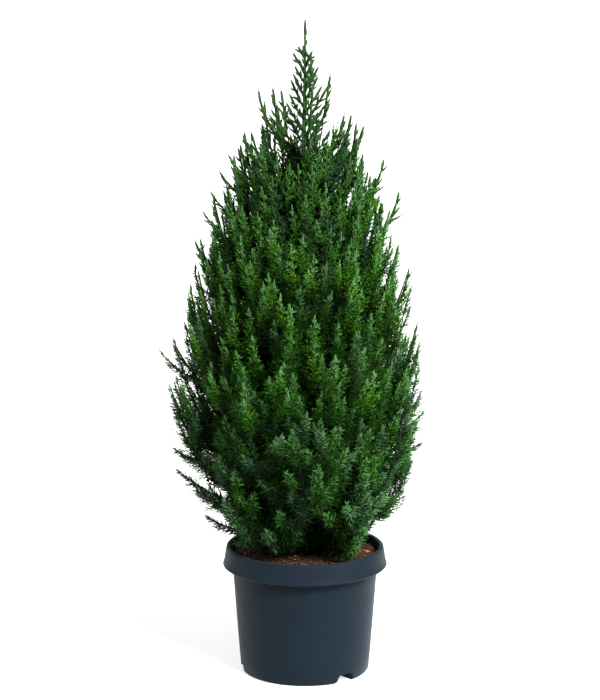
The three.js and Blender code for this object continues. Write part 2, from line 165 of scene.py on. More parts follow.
# Limbs and stems
LIMB_COUNT = 27
TIP_SPAN = (0.062, 0.91)
TIP_CROWDING = 0.9
FIRST_LIMB_DEG = 310
LIMB_FOOT_RISE = 0.03
LIMB_FOOT_SHARE = 0.5
LIMB_FOOT_POWER = 1.5
BEND_OUT = 0.66
BEND_UP = 0.3
BOUGH_SHARE = 0.24
BOUGH_RADII = (3.2, 1.9)
STEM_PLACES = 25
MASSES = [f"foliage_{i + 1:02d}" for i in range(LIMB_COUNT)] + ["foliage_leader"]

# Twigs and sprays by the source's rule
SEED = 41
SEED_STEP = 101
GOLDEN_SHARE = 0.618
FEWEST_TWIGS = 2
TWIG_SPACING = 38
TWIG_SPAN = (0.06, 0.82)
TWIG_SCATTER = 0.3
TWIG_ANGLE_DEG = 58
TWIG_FAN_DEG = 110
TWIG_SPIN_SCATTER_DEG = 17
TWIG_SHARE = 0.8
LONGEST_TWIG = 64
TWIG_STEP = 2
TWIG_MARGIN = 1.8
TWIG_INSET = 12
TWIG_BOW = 2
SPRAY_LENGTH = 130
SPRAY_ROOT = 14
SPRAY_RISE = 0.8
SPRAY_LEAN_DEG = (14, 7)
SHORTEST_SPRAY = 0.45
SPRAY_SIZE_STEP = 0.08
SPRAY_MARGIN = 1
SPILL = 3
POT_MARGIN = 3

# Twigs as tubes: radius at the foot and at the tip, sides and rings
STEM_TUBE = (1.8, 0.7, 5, 10)
YOUNG_STEM_TUBE = (1.4, 0.7, 5, 10)
LEADER_TUBE = (2.4, 1.1, 6, 8)
SPRAY_TWIG_TUBE = (1.0, 0.7, 3, 2)
SPRAY_TUBE = (0.9, 0.5, 3, 2)
MIDDLE_TUBE = (0.8, 0.4, 3, 3)
INNER_TUBE = (0.9, 0.5, 3, 3)
FINE_TWIG_TUBE = (0.9, 0.6, 3, 3)
# Pointed shoots: sides, and rings with their place along the shoot and their size
SPIKE = (3, ((0.0, 1.0),))
SPINDLE = (4, ((0.0, 0.7), (0.4, 1.0), (0.8, 0.75)))

# Finer plumes between the sprays, in layers: how many, how deep in the crown as a share of its radius,
# between which heights, and how large
OUTER_LAYER = (450, (-0.05, 0.1), (0.058, 0.8), 1)
MIDDLE_LAYER = (600, (0.07, 0.24), (0.06, 0.84), 1.15)
INNER_LAYER = (500, (0.26, 0.85), (0.08, 0.78), 1.5)
INNER_SHOOTS = 1.1
OUTLINE_STEPS = 600
OUTLINE_MARGIN = 8
RANK_SCATTER = 0.4
TURN_SCATTER = 0.12
AWAY_SCATTER = 0.24
PLUME_SIZES = (0.65, 1.35)
EDGE_PLUMES = 20
EDGE_PROUD = (-14, 1)
EDGE_SHARES = (0.04, 0.74)
EDGE_FOOT_INSET = 16
EDGE_DEPTH = 16
EDGE_PLUME_SIZE = 1.25
# Plume tips that stand out at the two sides, from the top down: across, up and lean in degrees
EDGE_TIPS = np.array([
    (-52, 673, 5), (52, 645, 14), (66, 633, 12), (-70, 624, 26), (89, 594, 12), (-86, 602, 30),
    (-97, 580, 30), (106, 558, 14), (-107, 558, 30), (-115, 538, 28), (-124, 505, 26), (-165, 376, 32),
    (147, 302, 40), (-149, 260, 48), (142, 264, 58), (129, 242, 62), (-146, 233, 54), (118, 207, 56),
    (-122, 204, 58), (101, 184, 70), (-112, 181, 62), (-102, 158, 64),
])
# How far the crown's right side is drawn in, as in the photo, and the heights between which it fades
DRAWN_IN = 0.15
DRAWN_IN_FROM = 80
DRAWN_IN_FADE = (420, 470)
# A finer plume's twig: where it may start on a stem, how it bends, how far out it may bend as a share
# of the crown's radius, how much it should climb, and what it costs to lead down or back inwards
TWIG_STARTS = (0.0, 0.9, 24)
TWIG_START_BEND = 0.4
TWIG_END_BEND = 0.45
TWIG_REACH = 0.68
TWIG_CLIMB = 12
TWIG_FALL_COST = 3
TWIG_RETURN_COST = 4
STEM_PLUME_RISE = 0.9
STEM_PLUME_SIZE = 1.35
STEM_PLUME_BOW_DEG = 18
LEADER_PLUMES = 20
LEADER_LENGTH = 150
LEADER_SPAN = (0.04, 0.78)
LEADER_LEAN_DEG = (40, 36)
LEADER_TURN_SCATTER = 0.8
# A leader plume's length: the least, and the share of its distance below the tip that it adds
LEADER_PLUME_LENGTH = (2, 0.38)
LEADER_PLUME_SIZES = (0.85, 1.15)
LEADER_PLUME_RISE = 0.35
# Gaps between the plumes, as spans across, to the back and up: a low one in front through which the
# trunk and boughs are seen, and a hollow in the right side
GAPS = ((-4, 36, -160, 0, 160, 215), (120, 170, -75, 75, 378, 442))

# Sizes over the plant's height: plumes are flat and fir-like at the foot, upright in the middle,
# and at the top they are fingers of scale-like leaves
SHARES = (0.0, 0.08, 0.2, 0.35, 0.55, 0.75, 0.9, 1.0)
PLUME_CROWDING = (0.8, 0.8, 0.9, 1.0, 1.0, 0.8, 0.42, 0.3)
PLUME_INSET = (0.15, 0.15, 0.13, 0.1, 0.07, 0.05, 0.03, 0.0)
PLUME_LEAN_DEG = (60, 53, 40, 20, 12, 12, 13, 8)
PLUME_BOW_DEG = (24, 24, 22, 16, 10, 8, 8, 8)
PLUME_LENGTH = (56, 58, 54, 48, 48, 52, 50, 50)
PLUME_RADIUS = (1.1, 1.1, 1.1, 1.0, 1.1, 1.3, 1.4, 1.4)
SHOOT_ANGLE_DEG = (47, 46, 45, 43, 39, 34, 32, 32)
SHOOT_LENGTH = (24, 24, 23, 18, 17, 20, 20, 20)
SHOOT_SPACING = (8.0, 7.8, 7.2, 6.0, 5.4, 6.0, 7.4, 8.0)
SHOOT_RADIUS = (0.5, 0.5, 0.6, 0.7, 0.9, 1.2, 1.35, 1.35)
NEEDLE_ANGLE_DEG = (62, 61, 57, 50, 42, 22, 13, 12)
NEEDLE_CLOSING = (0.3, 0.3, 0.36, 0.6, 0.68, 0.6, 0.6, 0.6)
NEEDLE_LENGTH = (12.8, 12.4, 11.2, 9.0, 8.0, 5.6, 4.8, 4.6)
NEEDLE_WIDTH = (1.6, 1.6, 1.5, 1.3, 1.25, 1.5, 1.6, 1.6)
WHORL_SPACING = (2.8, 2.8, 2.8, 3.0, 3.0, 2.9, 3.0, 3.0)
AXIS_WHORLS = (0.55, 0.55, 0.62, 0.85, 1.0, 1.0, 1.0, 1.0)
SIDE_PLUME_ANGLE_DEG = (50, 48, 44, 36, 32, 26, 22, 20)
SIDE_PLUME_RISE = (0.3, 0.4, 0.7, 1.3, 1.6, 1.6, 1.0, 1.0)
TIP_FINGER = (4, 4, 5, 9, 11, 16, 20, 20)
TIP_RADIUS = (0.5, 0.5, 0.6, 0.9, 1.2, 1.6, 1.7, 1.8)

# Side plumes of a spray
SPRAY_PLUME_SIZES = (0.75, 1.1)
SIDE_PLUMES = 2
SIDE_PLUME_SPAN = (0.1, 0.6)
SIDE_PLUME_SIZES = (0.95, 0.65)
SIDE_PLUME_FAN_SCATTER_DEG = 24
SIDE_PLUME_SCATTER_DEG = 4
SIDE_PLUME_INSET = 4
SIDE_PLUME_EACH = 36
SIDE_PLUMES_TO = 0.74

# Side shoots
PLACE_SCATTER = (0.2, 0.8)
SHOOT_FAN_DEG = 72
SHOOT_FAN_SCATTER_DEG = 20
FRONT_SHOOT_EVERY = 5
FEWEST_SHOOTS = 3
SHOOTS_COUNTED_AT = 0.6
SHOOTS_FROM = 0.06
SHOOTS_UP_FINGER = 0.3
SHOOT_CLOSING = 0.25
SHOOT_TAPER_POWER = 0.9
SHOOT_FILL = (0.75, 1.25)
SHOOT_SCALES = (0.7, 1.4)
SHOOT_SIZES = (0.75, 1.25)
SHORTEST_SHOOT = 2.5
SHOOT_RISE = 0.55
LOWEST_FINGER = 0.3
FINGERS_FROM = 0.6

# Needles. A set of them has a size, the space between whorls and, for fingers, a closeness to the shoot
FINGER_NEEDLES = (1.1, 0.7, 1.4)
MIDDLE_NEEDLES = (1.2, 1.8)
INNER_NEEDLES = (2.4, 4.6)
TWIG_NEEDLES = (1.2, 1.6)
NEEDLES_IN_WHORL = 3
FEWEST_WHORLS = 2
WHORL_SCATTER = (0.3, 0.7)
HIDDEN_SIDE = -0.9
CLOSE_ANGLE = 0.45
CLOSE_LENGTH = 0.25
NEEDLE_TURN_SCATTER = 0.2
NEEDLE_FOOT = 0.7
NEEDLE_SIZES = (0.85, 1.15)
NEEDLE_SHORTENING = 0.4
NEEDLE_NARROWING = 0.45
NEEDLE_BROAD_AT = 0.36
NEEDLE_KEEL = 0.65
NEEDLE_CORNERS = 4
NEEDLE_FACES = ((0, 1, 3), (0, 3, 2), (0, 2, 1), (1, 2, 3))

# Greens, and the chances of each family over the plant's height. Painted light: the lighter tip greens.
# Painted shade: the dark shade, inner and shaded twig greens
NEEDLE_GREENS = {
    "blue": (42, 78, 46),
    "blue_tip": (88, 134, 86),
    "deep": (38, 86, 14),
    "deep_tip": (84, 142, 74),
    "mid": (54, 115, 14),
    "mid_tip": (102, 164, 90),
    "fresh": (72, 135, 18),
    "fresh_tip": (118, 180, 100),
    "shade": (17, 50, 3),
    "inner": (10, 34, 1),
}
YOUNG_SHOOT_GREEN = (58, 88, 14)
SCALY_SHOOT_GREEN = (52, 86, 40)
SHADED_TWIG_GREEN = (18, 32, 8)
TIP_GLOSS = 0.16
NEEDLE_GLOSS = 0.11
FAMILY_CHANCES = {
    "blue": (0.78, 0.76, 0.52, 0.20, 0.06, 0.16, 0.50, 0.60),
    "deep": (0.22, 0.24, 0.46, 0.56, 0.24, 0.00, 0.16, 0.40),
    "mid": (0.00, 0.00, 0.02, 0.20, 0.44, 0.42, 0.34, 0.00),
    "fresh": (0.00, 0.00, 0.00, 0.04, 0.26, 0.42, 0.00, 0.00),
}
# Below this height half of the plumes behind the outer ones take the dark shade green as painted shade,
# the rest the deep green; from it up they take the blue and mid greens
LIGHTER_FROM = 0.55
# Tones by the place along a plume: painted shade towards its foot, in the dark shade green, and painted
# light towards its tip, in its family's lighter tip green
PAINTED_SHADE_TONE, MIDDLE_TONE, PAINTED_LIGHT_TONE = range(3)
FOOT_TONE_TO = 0.3
TIP_TONE_FROM = 0.68
TONE_SPREAD = 0.45
SHOOT_TONE = 0.3


def lerp(start, end, share):
    return start + (end - start) * share


def unit(vectors):
    return vectors / np.maximum(np.linalg.norm(vectors, axis=-1, keepdims=True), TINY)


def scaled(vectors, sizes):
    """Each vector times its own size."""
    return vectors * np.asarray(sizes)[..., None]


def square_to(vectors, headings):
    """The directions of vectors, made square to headings."""
    return unit(vectors - headings * np.sum(vectors * headings, -1, keepdims=True))


def by_height(share, values):
    """A size at each share of the plant's height, from its table."""
    return np.interp(share, SHARES, values)


# Growth rule


def height_at(share):
    return TRUNK_FOOT + PLANT_HEIGHT * share


def share_of(points):
    """The share of the plant's height at which points lie."""
    return np.clip((points[..., 2] - TRUNK_FOOT) / PLANT_HEIGHT, 0, 1)


def reach_of(points, centre=0):
    """How far points lie from an upright line."""
    return np.hypot(points[..., 0] - centre, points[..., 1])


def axis_at(share):
    """Places on the trunk's middle line, which the leader carries on."""
    share = np.asarray(share, float)
    sway = TRUNK_SWAY * np.sin(np.pi * share) ** 2
    return np.stack([-sway, sway / 2 * np.cos(SWAY_TURN * share), height_at(share)], -1)


def trunk_radius(share):
    tapered = (share / TRUNK_SHARE) ** TRUNK_TAPER_POWER
    flare = FLARE * np.exp(-share * PLANT_HEIGHT / FLARE_HEIGHT)
    return lerp(*TRUNK_RADII, tapered) + flare


def crown_radius(share):
    share = np.asarray(share, float)
    below = np.clip((WIDEST_AT - share) / UNDERSIDE_SPAN, 0, 1)
    above = np.clip((share - WIDEST_AT) / (1 - WIDEST_AT), 0, 1)
    low = np.sqrt(1 - below**2)
    high = 1 - above**TAPER_POWER
    return CROWN_RADIUS * np.where(share < WIDEST_AT, low, high)


def crown_centre(share):
    return CROWN_SHIFT * np.sin(np.pi * np.asarray(share, float))


def outward_at(turn):
    return np.stack([np.cos(turn), np.sin(turn), np.zeros_like(turn)], -1)


def crown_points(share, turn, reach):
    """Points in the crown by height, turn and distance from its middle."""
    points = scaled(outward_at(turn), reach)
    points[:, 0] += crown_centre(share)
    points[:, 2] = height_at(share)
    return points


def limb_turn(index):
    return math.radians(FIRST_LIMB_DEG) + GOLDEN_TURN * index


def limb_curves():
    index = np.arange(LIMB_COUNT)
    rank = (index + 0.5) / LIMB_COUNT
    tip_share = lerp(*TIP_SPAN, 1 - (1 - rank) ** TIP_CROWDING)
    reach = crown_radius(tip_share)
    foot = axis_at(LIMB_FOOT_RISE + LIMB_FOOT_SHARE * tip_share**LIMB_FOOT_POWER)
    tip = crown_points(tip_share, limb_turn(index), reach)
    bend = foot + scaled(outward_at(limb_turn(index)), reach) * BEND_OUT
    bend[:, 2] = lerp(foot[:, 2], tip[:, 2], BEND_UP)
    return np.stack([foot, bend, tip], 1)


def for_each(curves, share):
    """A share of every curve, or one share for each, as a column."""
    return np.broadcast_to(np.asarray(share, float), len(curves))[:, None]


def point_on(curves, share):
    share = for_each(curves, share)
    ahead = share * share * curves[:, 2]
    return (1 - share) ** 2 * curves[:, 0] + 2 * share * (1 - share) * curves[:, 1] + ahead


def heading_on(curves, share):
    share = for_each(curves, share)
    legs = np.diff(curves, axis=1)
    return unit((1 - share) * legs[:, 0] + share * legs[:, 1])


def length_of(curves):
    legs = np.linalg.norm(np.diff(curves, axis=1), axis=2).sum(1)
    return (legs + np.linalg.norm(curves[:, 2] - curves[:, 0], axis=1)) / 2


def stretch_of(curves, start, end):
    """The part of each curve between two shares of it."""
    first, last = for_each(curves, start), for_each(curves, end)
    near, far = (1 - first) * (1 - last), first * last
    middle = near * curves[:, 0] + (1 - near - far) * curves[:, 1] + far * curves[:, 2]
    return np.stack([point_on(curves, start), middle, point_on(curves, end)], 1)


def two_legs(feet, first, second, lengths):
    """Curves that leave their feet along one direction and end along another, half their length each."""
    middle = feet + scaled(first, lengths / 2)
    return np.stack([feet, middle, middle + scaled(second, lengths / 2)], 1)


def sides_of(heading):
    """Two directions square to each heading and to each other."""
    mostly_across = np.abs(heading[:, :1]) >= MOSTLY
    first = unit(np.cross(heading, np.where(mostly_across, [[0, 1.0, 0]], [[1.0, 0, 0]])))
    return first, np.cross(heading, first)


def facing_at(points):
    """The way that foliage faces: out from the crown's middle, and forwards near it."""
    facing = points * [1, 1, 0]
    facing[:, 0] -= crown_centre(share_of(points))
    facing[:, 1] -= FORWARD_PULL
    return unit(facing)


def fanned(heading, facing, turn, angle):
    """Directions that leave a heading by an angle, turned about it from the way it faces."""
    first = square_to(facing, heading)
    side = scaled(first, np.cos(turn)) + scaled(np.cross(heading, first), np.sin(turn))
    return scaled(heading, np.cos(angle)) + scaled(side, np.sin(angle))


def leaning(away, angle):
    """Directions that lean away from upright by an angle."""
    return scaled(away, np.sin(angle)) + np.cos(angle)[:, None] * UPRIGHT


def dealt(counts):
    """For things dealt out in runs: the run's number and the place within the run."""
    run = np.repeat(np.arange(len(counts)), counts)
    place = np.arange(len(run)) - np.repeat(np.cumsum(counts) - counts, counts)
    return run, place


# Meshes from arrays


def joined_mesh(name, points, faces):
    """One piece from corner points in millimetres and triangles."""
    mesh = bpy.data.meshes.new(name)
    corners = (np.asarray(points) * MM).astype(np.float32)
    triangles = np.asarray(faces, np.int32)
    mesh.vertices.add(len(corners))
    mesh.vertices.foreach_set("co", corners.ravel())
    mesh.loops.add(triangles.size)
    mesh.loops.foreach_set("vertex_index", triangles.ravel())
    mesh.polygons.add(len(triangles))
    mesh.polygons.foreach_set("loop_start", np.arange(0, triangles.size, 3, dtype=np.int32))
    mesh.update(calc_edges=True)
    piece = bpy.data.objects.new(name, mesh)
    bpy.context.scene.collection.objects.link(piece)
    return piece


def repeated(points, faces):
    """Joins like things, given as things by corners and the triangles of one of them."""
    starts = np.arange(len(points))[:, None, None] * points.shape[1]
    return points.reshape(-1, 3), (np.array(faces)[None] + starts).reshape(-1, 3)


def gathered(arrays):
    """Joins several sets of points and triangles into one."""
    points = np.concatenate([part[0] for part in arrays])
    starts = np.cumsum([0] + [len(part[0]) for part in arrays[:-1]])
    faces = np.concatenate([part[1] + start for part, start in zip(arrays, starts)])
    return points, faces


def ring_reaches(heading, sides):
    """Directions from the middle of a ring to its corners."""
    first, second = sides_of(heading)
    turns = [FULL_TURN * side / sides for side in range(sides)]
    return [math.cos(turn) * first + math.sin(turn) * second for turn in turns]


def wall_faces(sides, rings):
    """Triangles of the cap at a tube's foot and of the wall between its rings."""
    faces = [(0, side + 1, side) for side in range(1, sides - 1)]
    for start in range(0, (rings - 1) * sides, sides):
        for side in range(sides):
            here, there = start + side, start + (side + 1) % sides
            faces += [(here, there, there + sides), (here, there + sides, here + sides)]
    return faces


def tube_arrays(curves, foot_radius, tip_radius, sides, rings):
    """Closed tapering twigs along curves."""
    points = []
    for ring in range(rings + 1):
        share = ring / rings
        centre, radius = point_on(curves, share), lerp(foot_radius, tip_radius, share)
        points += [centre + radius * reach for reach in ring_reaches(heading_on(curves, share), sides)]
    last = rings * sides
    cap = [(last, last + side, last + side + 1) for side in range(1, sides - 1)]
    return repeated(np.stack(points, 1), wall_faces(sides, rings + 1) + cap)


def pointed_arrays(curves, radius, sides, rings):
    """Closed shoots that end in a point."""
    reaches = ring_reaches(unit(curves[:, 2] - curves[:, 0]), sides)
    points = []
    for share, size in rings:
        centre = point_on(curves, share)
        points += [centre + scaled(reach, radius * size) for reach in reaches]
    last = len(points) - sides
    tip = [(last + side, last + (side + 1) % sides, len(points)) for side in range(sides)]
    return repeated(np.stack([*points, curves[:, 2]], 1), wall_faces(sides, len(rings)) + tip)


def needle_arrays(foot, heading, away, length, width):
    """Slim lance-shaped needles of four faces: a ridge from foot to tip over two broad points."""
    across = unit(np.cross(heading, away))
    under = np.cross(across, heading)
    broad = foot + scaled(heading, length * NEEDLE_BROAD_AT) + scaled(under, width * NEEDLE_KEEL)
    half = scaled(across, width / 2)
    points = np.stack([foot, broad + half, broad - half, foot + scaled(heading, length)], 1)
    return repeated(points, NEEDLE_FACES)


# Modelling by hand


def activate(*pieces):
    bpy.ops.object.select_all(action="DESELECT")
    for piece in pieces:
        piece.select_set(True)
    bpy.context.view_layer.objects.active = pieces[0]


def named(name):
    """The active piece, with a name of its own."""
    piece = bpy.context.active_object
    piece.name = piece.data.name = name
    return piece


def edit(piece):
    activate(piece)
    bpy.ops.object.mode_set(mode="EDIT")


def leave_unselected():
    bpy.ops.mesh.select_all(action="DESELECT")
    bpy.ops.object.mode_set(mode="OBJECT")


def settle(piece):
    """Leaves edit mode and puts the piece's place into its mesh."""
    bpy.ops.object.mode_set(mode="OBJECT")
    activate(piece)
    bpy.ops.object.transform_apply(location=True, rotation=True, scale=True)


def smooth_by_angle(piece, degrees):
    activate(piece)
    bpy.ops.object.shade_smooth_by_angle(angle=math.radians(degrees))


def vertex_values(piece, name):
    values = np.empty(len(piece.data.vertices) * 3)
    piece.data.vertices.foreach_get(name, values)
    return values.reshape(-1, 3)


def move_vertices(piece, places):
    piece.data.vertices.foreach_set("co", places.ravel())
    piece.data.update()


def extruded(move):
    bpy.ops.mesh.extrude_region_move(TRANSFORM_OT_translate={"value": move})


def drawn_along(name, points, radii, sides, turn):
    """A round solid drawn out of a ring along points in millimetres, with a radius at each."""
    bpy.ops.mesh.primitive_circle_add(
        vertices=sides,
        radius=radii[0] * MM,
        fill_type="NGON",
        location=Vector(points[0]) * MM,
        rotation=turn,
    )
    piece = named(name)
    edit(piece)
    bpy.ops.mesh.select_all(action="SELECT")
    for step in range(1, len(points)):
        extruded(Vector(points[step] - points[step - 1]) * MM)
        ratio = radii[step] / radii[step - 1]
        bpy.ops.transform.resize(value=(ratio, ratio, ratio))
    bpy.ops.mesh.select_all(action="SELECT")
    bpy.ops.mesh.normals_make_consistent(inside=False)
    settle(piece)
    return piece


def raised(name, profile):
    """A round upright solid from a profile of radii and heights."""
    radii, heights = np.array(profile).T
    return drawn_along(name, heights[:, None] * UPRIGHT, radii, POT_SIDES, (0, 0, 0))


# Finishes


def srgb(red, green, blue):
    """A colour given as 0 to 255 on the screen."""
    shares = np.array([red, green, blue]) / 255
    linear = np.where(shares <= 0.04045, shares / 12.92, ((shares + 0.055) / 1.055) ** 2.4)
    return (*[float(value) for value in linear], 1)


def set_inputs(tree, node, inputs):
    """Sets a node's inputs to plain values, or links them to outputs of other nodes."""
    for name, value in inputs.items():
        if isinstance(value, bpy.types.NodeSocket):
            tree.links.new(value, node.inputs[name])
        else:
            node.inputs[name].default_value = value


def added(tree, kind, output, inputs):
    """The output of a new node."""
    node = tree.nodes.new("ShaderNode" + kind)
    set_inputs(tree, node, inputs)
    return node.outputs[output]


def noise(tree, scale, detail, roughness=0.55, stretch=1):
    """Noise in a piece's own space, drawn out along its height by a stretch below one."""
    place = added(tree, "TexCoord", "Object", {})
    if stretch != 1:
        place = added(tree, "Mapping", "Vector", {"Vector": place, "Scale": (1, 1, stretch)})
    inputs = {"Vector": place, "Scale": scale, "Detail": detail, "Roughness": roughness}
    return added(tree, "TexNoise", "Fac", inputs)


def bump(tree, height, strength, distance):
    inputs = {"Height": height, "Strength": strength, "Distance": distance}
    return added(tree, "Bump", "Normal", inputs)


def spread(tree, value, low, high):
    return added(tree, "MapRange", "Result", {"Value": value, "To Min": low, "To Max": high})


def ramp(tree, value, *stops):
    """Colours over a value, given as stops of a place and a colour."""
    node = tree.nodes.new("ShaderNodeValToRGB")
    elements = node.color_ramp.elements
    while len(elements) < len(stops):
        elements.new(0.5)
    for element, (place, colour) in zip(elements, stops):
        element.position = place
        element.color = srgb(*colour)
    set_inputs(tree, node, {"Fac": value})
    return node.outputs["Color"]


def new_finish(name):
    finish = bpy.data.materials.new(name)
    finish.use_nodes = True
    return finish, finish.node_tree


def surfaced(finish, inputs):
    set_inputs(finish.node_tree, finish.node_tree.nodes["Principled BSDF"], inputs)
    return finish


def pot_finish():
    finish, tree = new_finish("slate_pot_plastic")
    return surfaced(finish, {
        "Base Color": ramp(tree, noise(tree, 14, 3), (0.3, (22, 34, 44)), (0.7, (27, 39, 49))),
        "Roughness": spread(tree, noise(tree, 60, 5), 0.42, 0.6),
        "Normal": bump(tree, noise(tree, 900, 2), 0.12, 0.0004),
        "Specular IOR Level": 0.07,
        "Sheen Weight": 0.15,
        "Sheen Roughness": 0.45,
        "Sheen Tint": (0.62, 0.84, 1, 1),
    })


def soil_finish():
    finish, tree = new_finish("moist_potting_mix")
    stops = (0.3, (28, 20, 14)), (0.5, (66, 45, 30)), (0.72, (112, 76, 50))
    return surfaced(finish, {
        "Base Color": ramp(tree, noise(tree, 320, 6, 0.7), *stops),
        "Normal": bump(tree, noise(tree, 700, 4), 0.9, 0.002),
        "Roughness": 0.95,
    })


def wood_finish(name, dark, light, stretch=1):
    """Bark or bark chips: fibres that run along the plant's height."""
    finish, tree = new_finish(name)
    fibres = noise(tree, 420, 5, 0.65, stretch)
    return surfaced(finish, {
        "Base Color": ramp(tree, fibres, (0.32, dark), (0.68, light)),
        "Normal": bump(tree, fibres, 0.7, 0.0012),
        "Roughness": 0.85,
    })


def needle_finish(name, colour, gloss):
    """A plain green with the needles' waxy bloom in its gloss."""
    finish, tree = new_finish(name)
    return surfaced(finish, {
        "Base Color": srgb(*colour),
        "Roughness": spread(tree, noise(tree, 240, 2), 0.42, 0.72),
        "Specular IOR Level": gloss,
    })


def floor_finish():
    finish, _ = new_finish("pale_floor")
    return surfaced(finish, {
        "Base Color": FLOOR_COLOUR,
        "Roughness": 1,
        "Specular IOR Level": 0,
        "Emission Color": WHITE,
        "Emission Strength": FLOOR_GLOW,
    })


def dress(piece, finish, slot, *nodes):
    """Gives a piece its finish and its place in the frame."""
    piece.data.materials.clear()
    piece.data.materials.append(finish)
    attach(piece, "root")
    if nodes:
        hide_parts(*nodes)
    return piece


# Studio


def studio():
    scene = bpy.context.scene
    scene.view_settings.view_transform = "Standard"
    camera = bpy.data.objects.new("camera", bpy.data.cameras.new("camera"))
    scene.collection.objects.link(camera)
    camera.location = CAMERA_PLACE
    camera.rotation_euler = (math.radians(90 - CAMERA_PITCH_DEG), 0, 0)
    camera.data.lens = CAMERA_LENS
    camera.data.sensor_width = SENSOR_WIDTH
    camera.data.clip_end = VIEW_DEPTH
    scene.camera = camera

    world = bpy.data.worlds.new("studio")
    world.use_nodes = True
    background = world.node_tree.nodes["Background"]
    set_inputs(world.node_tree, background, {"Color": WHITE, "Strength": WORLD_LIGHT})
    scene.world = world

    for name, (place, power, softness) in LIGHTS.items():
        lamp = bpy.data.lights.new(name, "SUN")
        lamp.energy = power
        lamp.angle = math.radians(softness)
        light = bpy.data.objects.new(name, lamp)
        light.rotation_euler = (-Vector(place)).to_track_quat("-Z", "Y").to_euler()
        scene.collection.objects.link(light)

    bpy.ops.mesh.primitive_plane_add(size=FLOOR_SIZE)
    floor = named("floor")
    floor.data.materials.append(floor_finish())
    floor.visible_diffuse = False


# Pot and soil


def rounded(radius, height, steps):
    return [(radius + out, height + up) for out, up in steps]


def make_pot():
    slope = (WALL_TOP_RADIUS - WALL_FOOT_RADIUS) / BAND_FOOT
    inner = LIP_RADIUS - LIP_WIDTH
    pot = raised("nursery_pot", [
        *rounded(WALL_FOOT_RADIUS, 0, FOOT_ROUND),
        *[(WALL_FOOT_RADIUS + slope * height, height) for height in WALL_RINGS],
        *rounded(WALL_TOP_RADIUS, BAND_FOOT, BAND_FOOT_ROUND),
        *rounded(BAND_RADIUS, BAND_WIDEST, BAND_ROUND),
        *rounded(LIP_RADIUS, POT_HEIGHT, LIP_ROUND),
        *rounded(inner, POT_HEIGHT, INNER_LIP_ROUND),
        (inner, BAND_WIDEST + WALL),
        (WALL_TOP_RADIUS - WALL, BAND_FOOT + WALL),
        (WALL_FOOT_RADIUS - WALL + slope * POT_FLOOR, POT_FLOOR),
    ])
    for index in range(CHANNEL_COUNT):
        channel = channel_cutter(index)
        cut = pot.modifiers.new("drain_channel", "BOOLEAN")
        cut.object = channel
        cut.solver = "EXACT"
        activate(pot)
        bpy.ops.object.modifier_apply(modifier=cut.name)
        bpy.data.objects.remove(channel)
    smooth_by_angle(pot, POT_SMOOTH_DEG)
    return pot


def channel_cutter(index):
    """A drain channel's space: a bar with rounded upper edges that flares to one side at the ground."""
    inner = WALL_FOOT_RADIUS - CHANNEL_LENGTH
    length = BAND_RADIUS - inner
    depth = CHANNEL_HEIGHT - CHANNEL_FLARE[0][0]
    bpy.ops.mesh.primitive_cube_add(size=1)
    bar = bpy.context.active_object
    edit(bar)
    bpy.ops.mesh.select_all(action="SELECT")
    bpy.ops.transform.resize(value=(CHANNEL_WIDTH * MM, length * MM, depth * MM))
    middle = -(inner + length / 2) * MM
    bpy.ops.transform.translate(value=(0, middle, (CHANNEL_HEIGHT - depth / 2) * MM))
    leave_unselected()
    for face in bar.data.polygons:
        face.select = face.normal.z < -MOSTLY
    edit(bar)
    for (height, width), (next_height, next_width) in zip(CHANNEL_FLARE, CHANNEL_FLARE[1:]):
        extruded((0, 0, (next_height - height) * MM))
        bpy.ops.transform.resize(value=(next_width / width, 1, 1))
        bpy.ops.transform.translate(value=((width - next_width) / 2 * MM, 0, 0))
    leave_unselected()
    for edge in bar.data.edges:
        ends = [bar.data.vertices[corner].co for corner in edge.vertices]
        level = all(end.z > (CHANNEL_HEIGHT - 1) * MM for end in ends)
        edge.select = level and abs(ends[0].y - ends[1].y) > MM
    edit(bar)
    bpy.ops.mesh.select_mode(type="EDGE")
    bpy.ops.mesh.bevel(offset=CHANNEL_ROUND * MM, segments=CHANNEL_ROUND_STEPS, affect="EDGES")
    bpy.ops.object.mode_set(mode="OBJECT")
    bar.rotation_euler = (0, 0, math.radians(CHANNEL_FIRST_DEG + 360 / CHANNEL_COUNT * index))
    settle(bar)
    return bar


def soil_height(share):
    return SOIL_TOP - SOIL_FALL * share


def make_soil(random):
    """Potting mix that fills the pot: a crumbly top on a plain body."""
    soil = raised("potting_mix", [
        (WALL_FOOT_RADIUS - WALL - SOIL_GAP, POT_FLOOR + SOIL_GAP),
        (WALL_TOP_RADIUS - WALL - 3 * SOIL_GAP, BAND_FOOT + WALL),
        (SOIL_RADIUS, BAND_WIDEST + 2 * WALL),
        (SOIL_RADIUS, soil_height(1)),
        *[(SOIL_RADIUS * share, soil_height(share)) for share in np.linspace(*SOIL_RINGS)],
    ])
    places = vertex_values(soil, "co")
    top = places[:, 2] > (soil_height(1) - SOIL_GAP) * MM
    crumbs = random.normal(0, CRUMB, top.sum())
    across, back = (places[top, :2] * SWELL_WAVES).T
    places[top, 2] += (crumbs + SWELL * np.sin(across) * np.sin(back + 1)) * MM
    move_vertices(soil, places)
    return soil


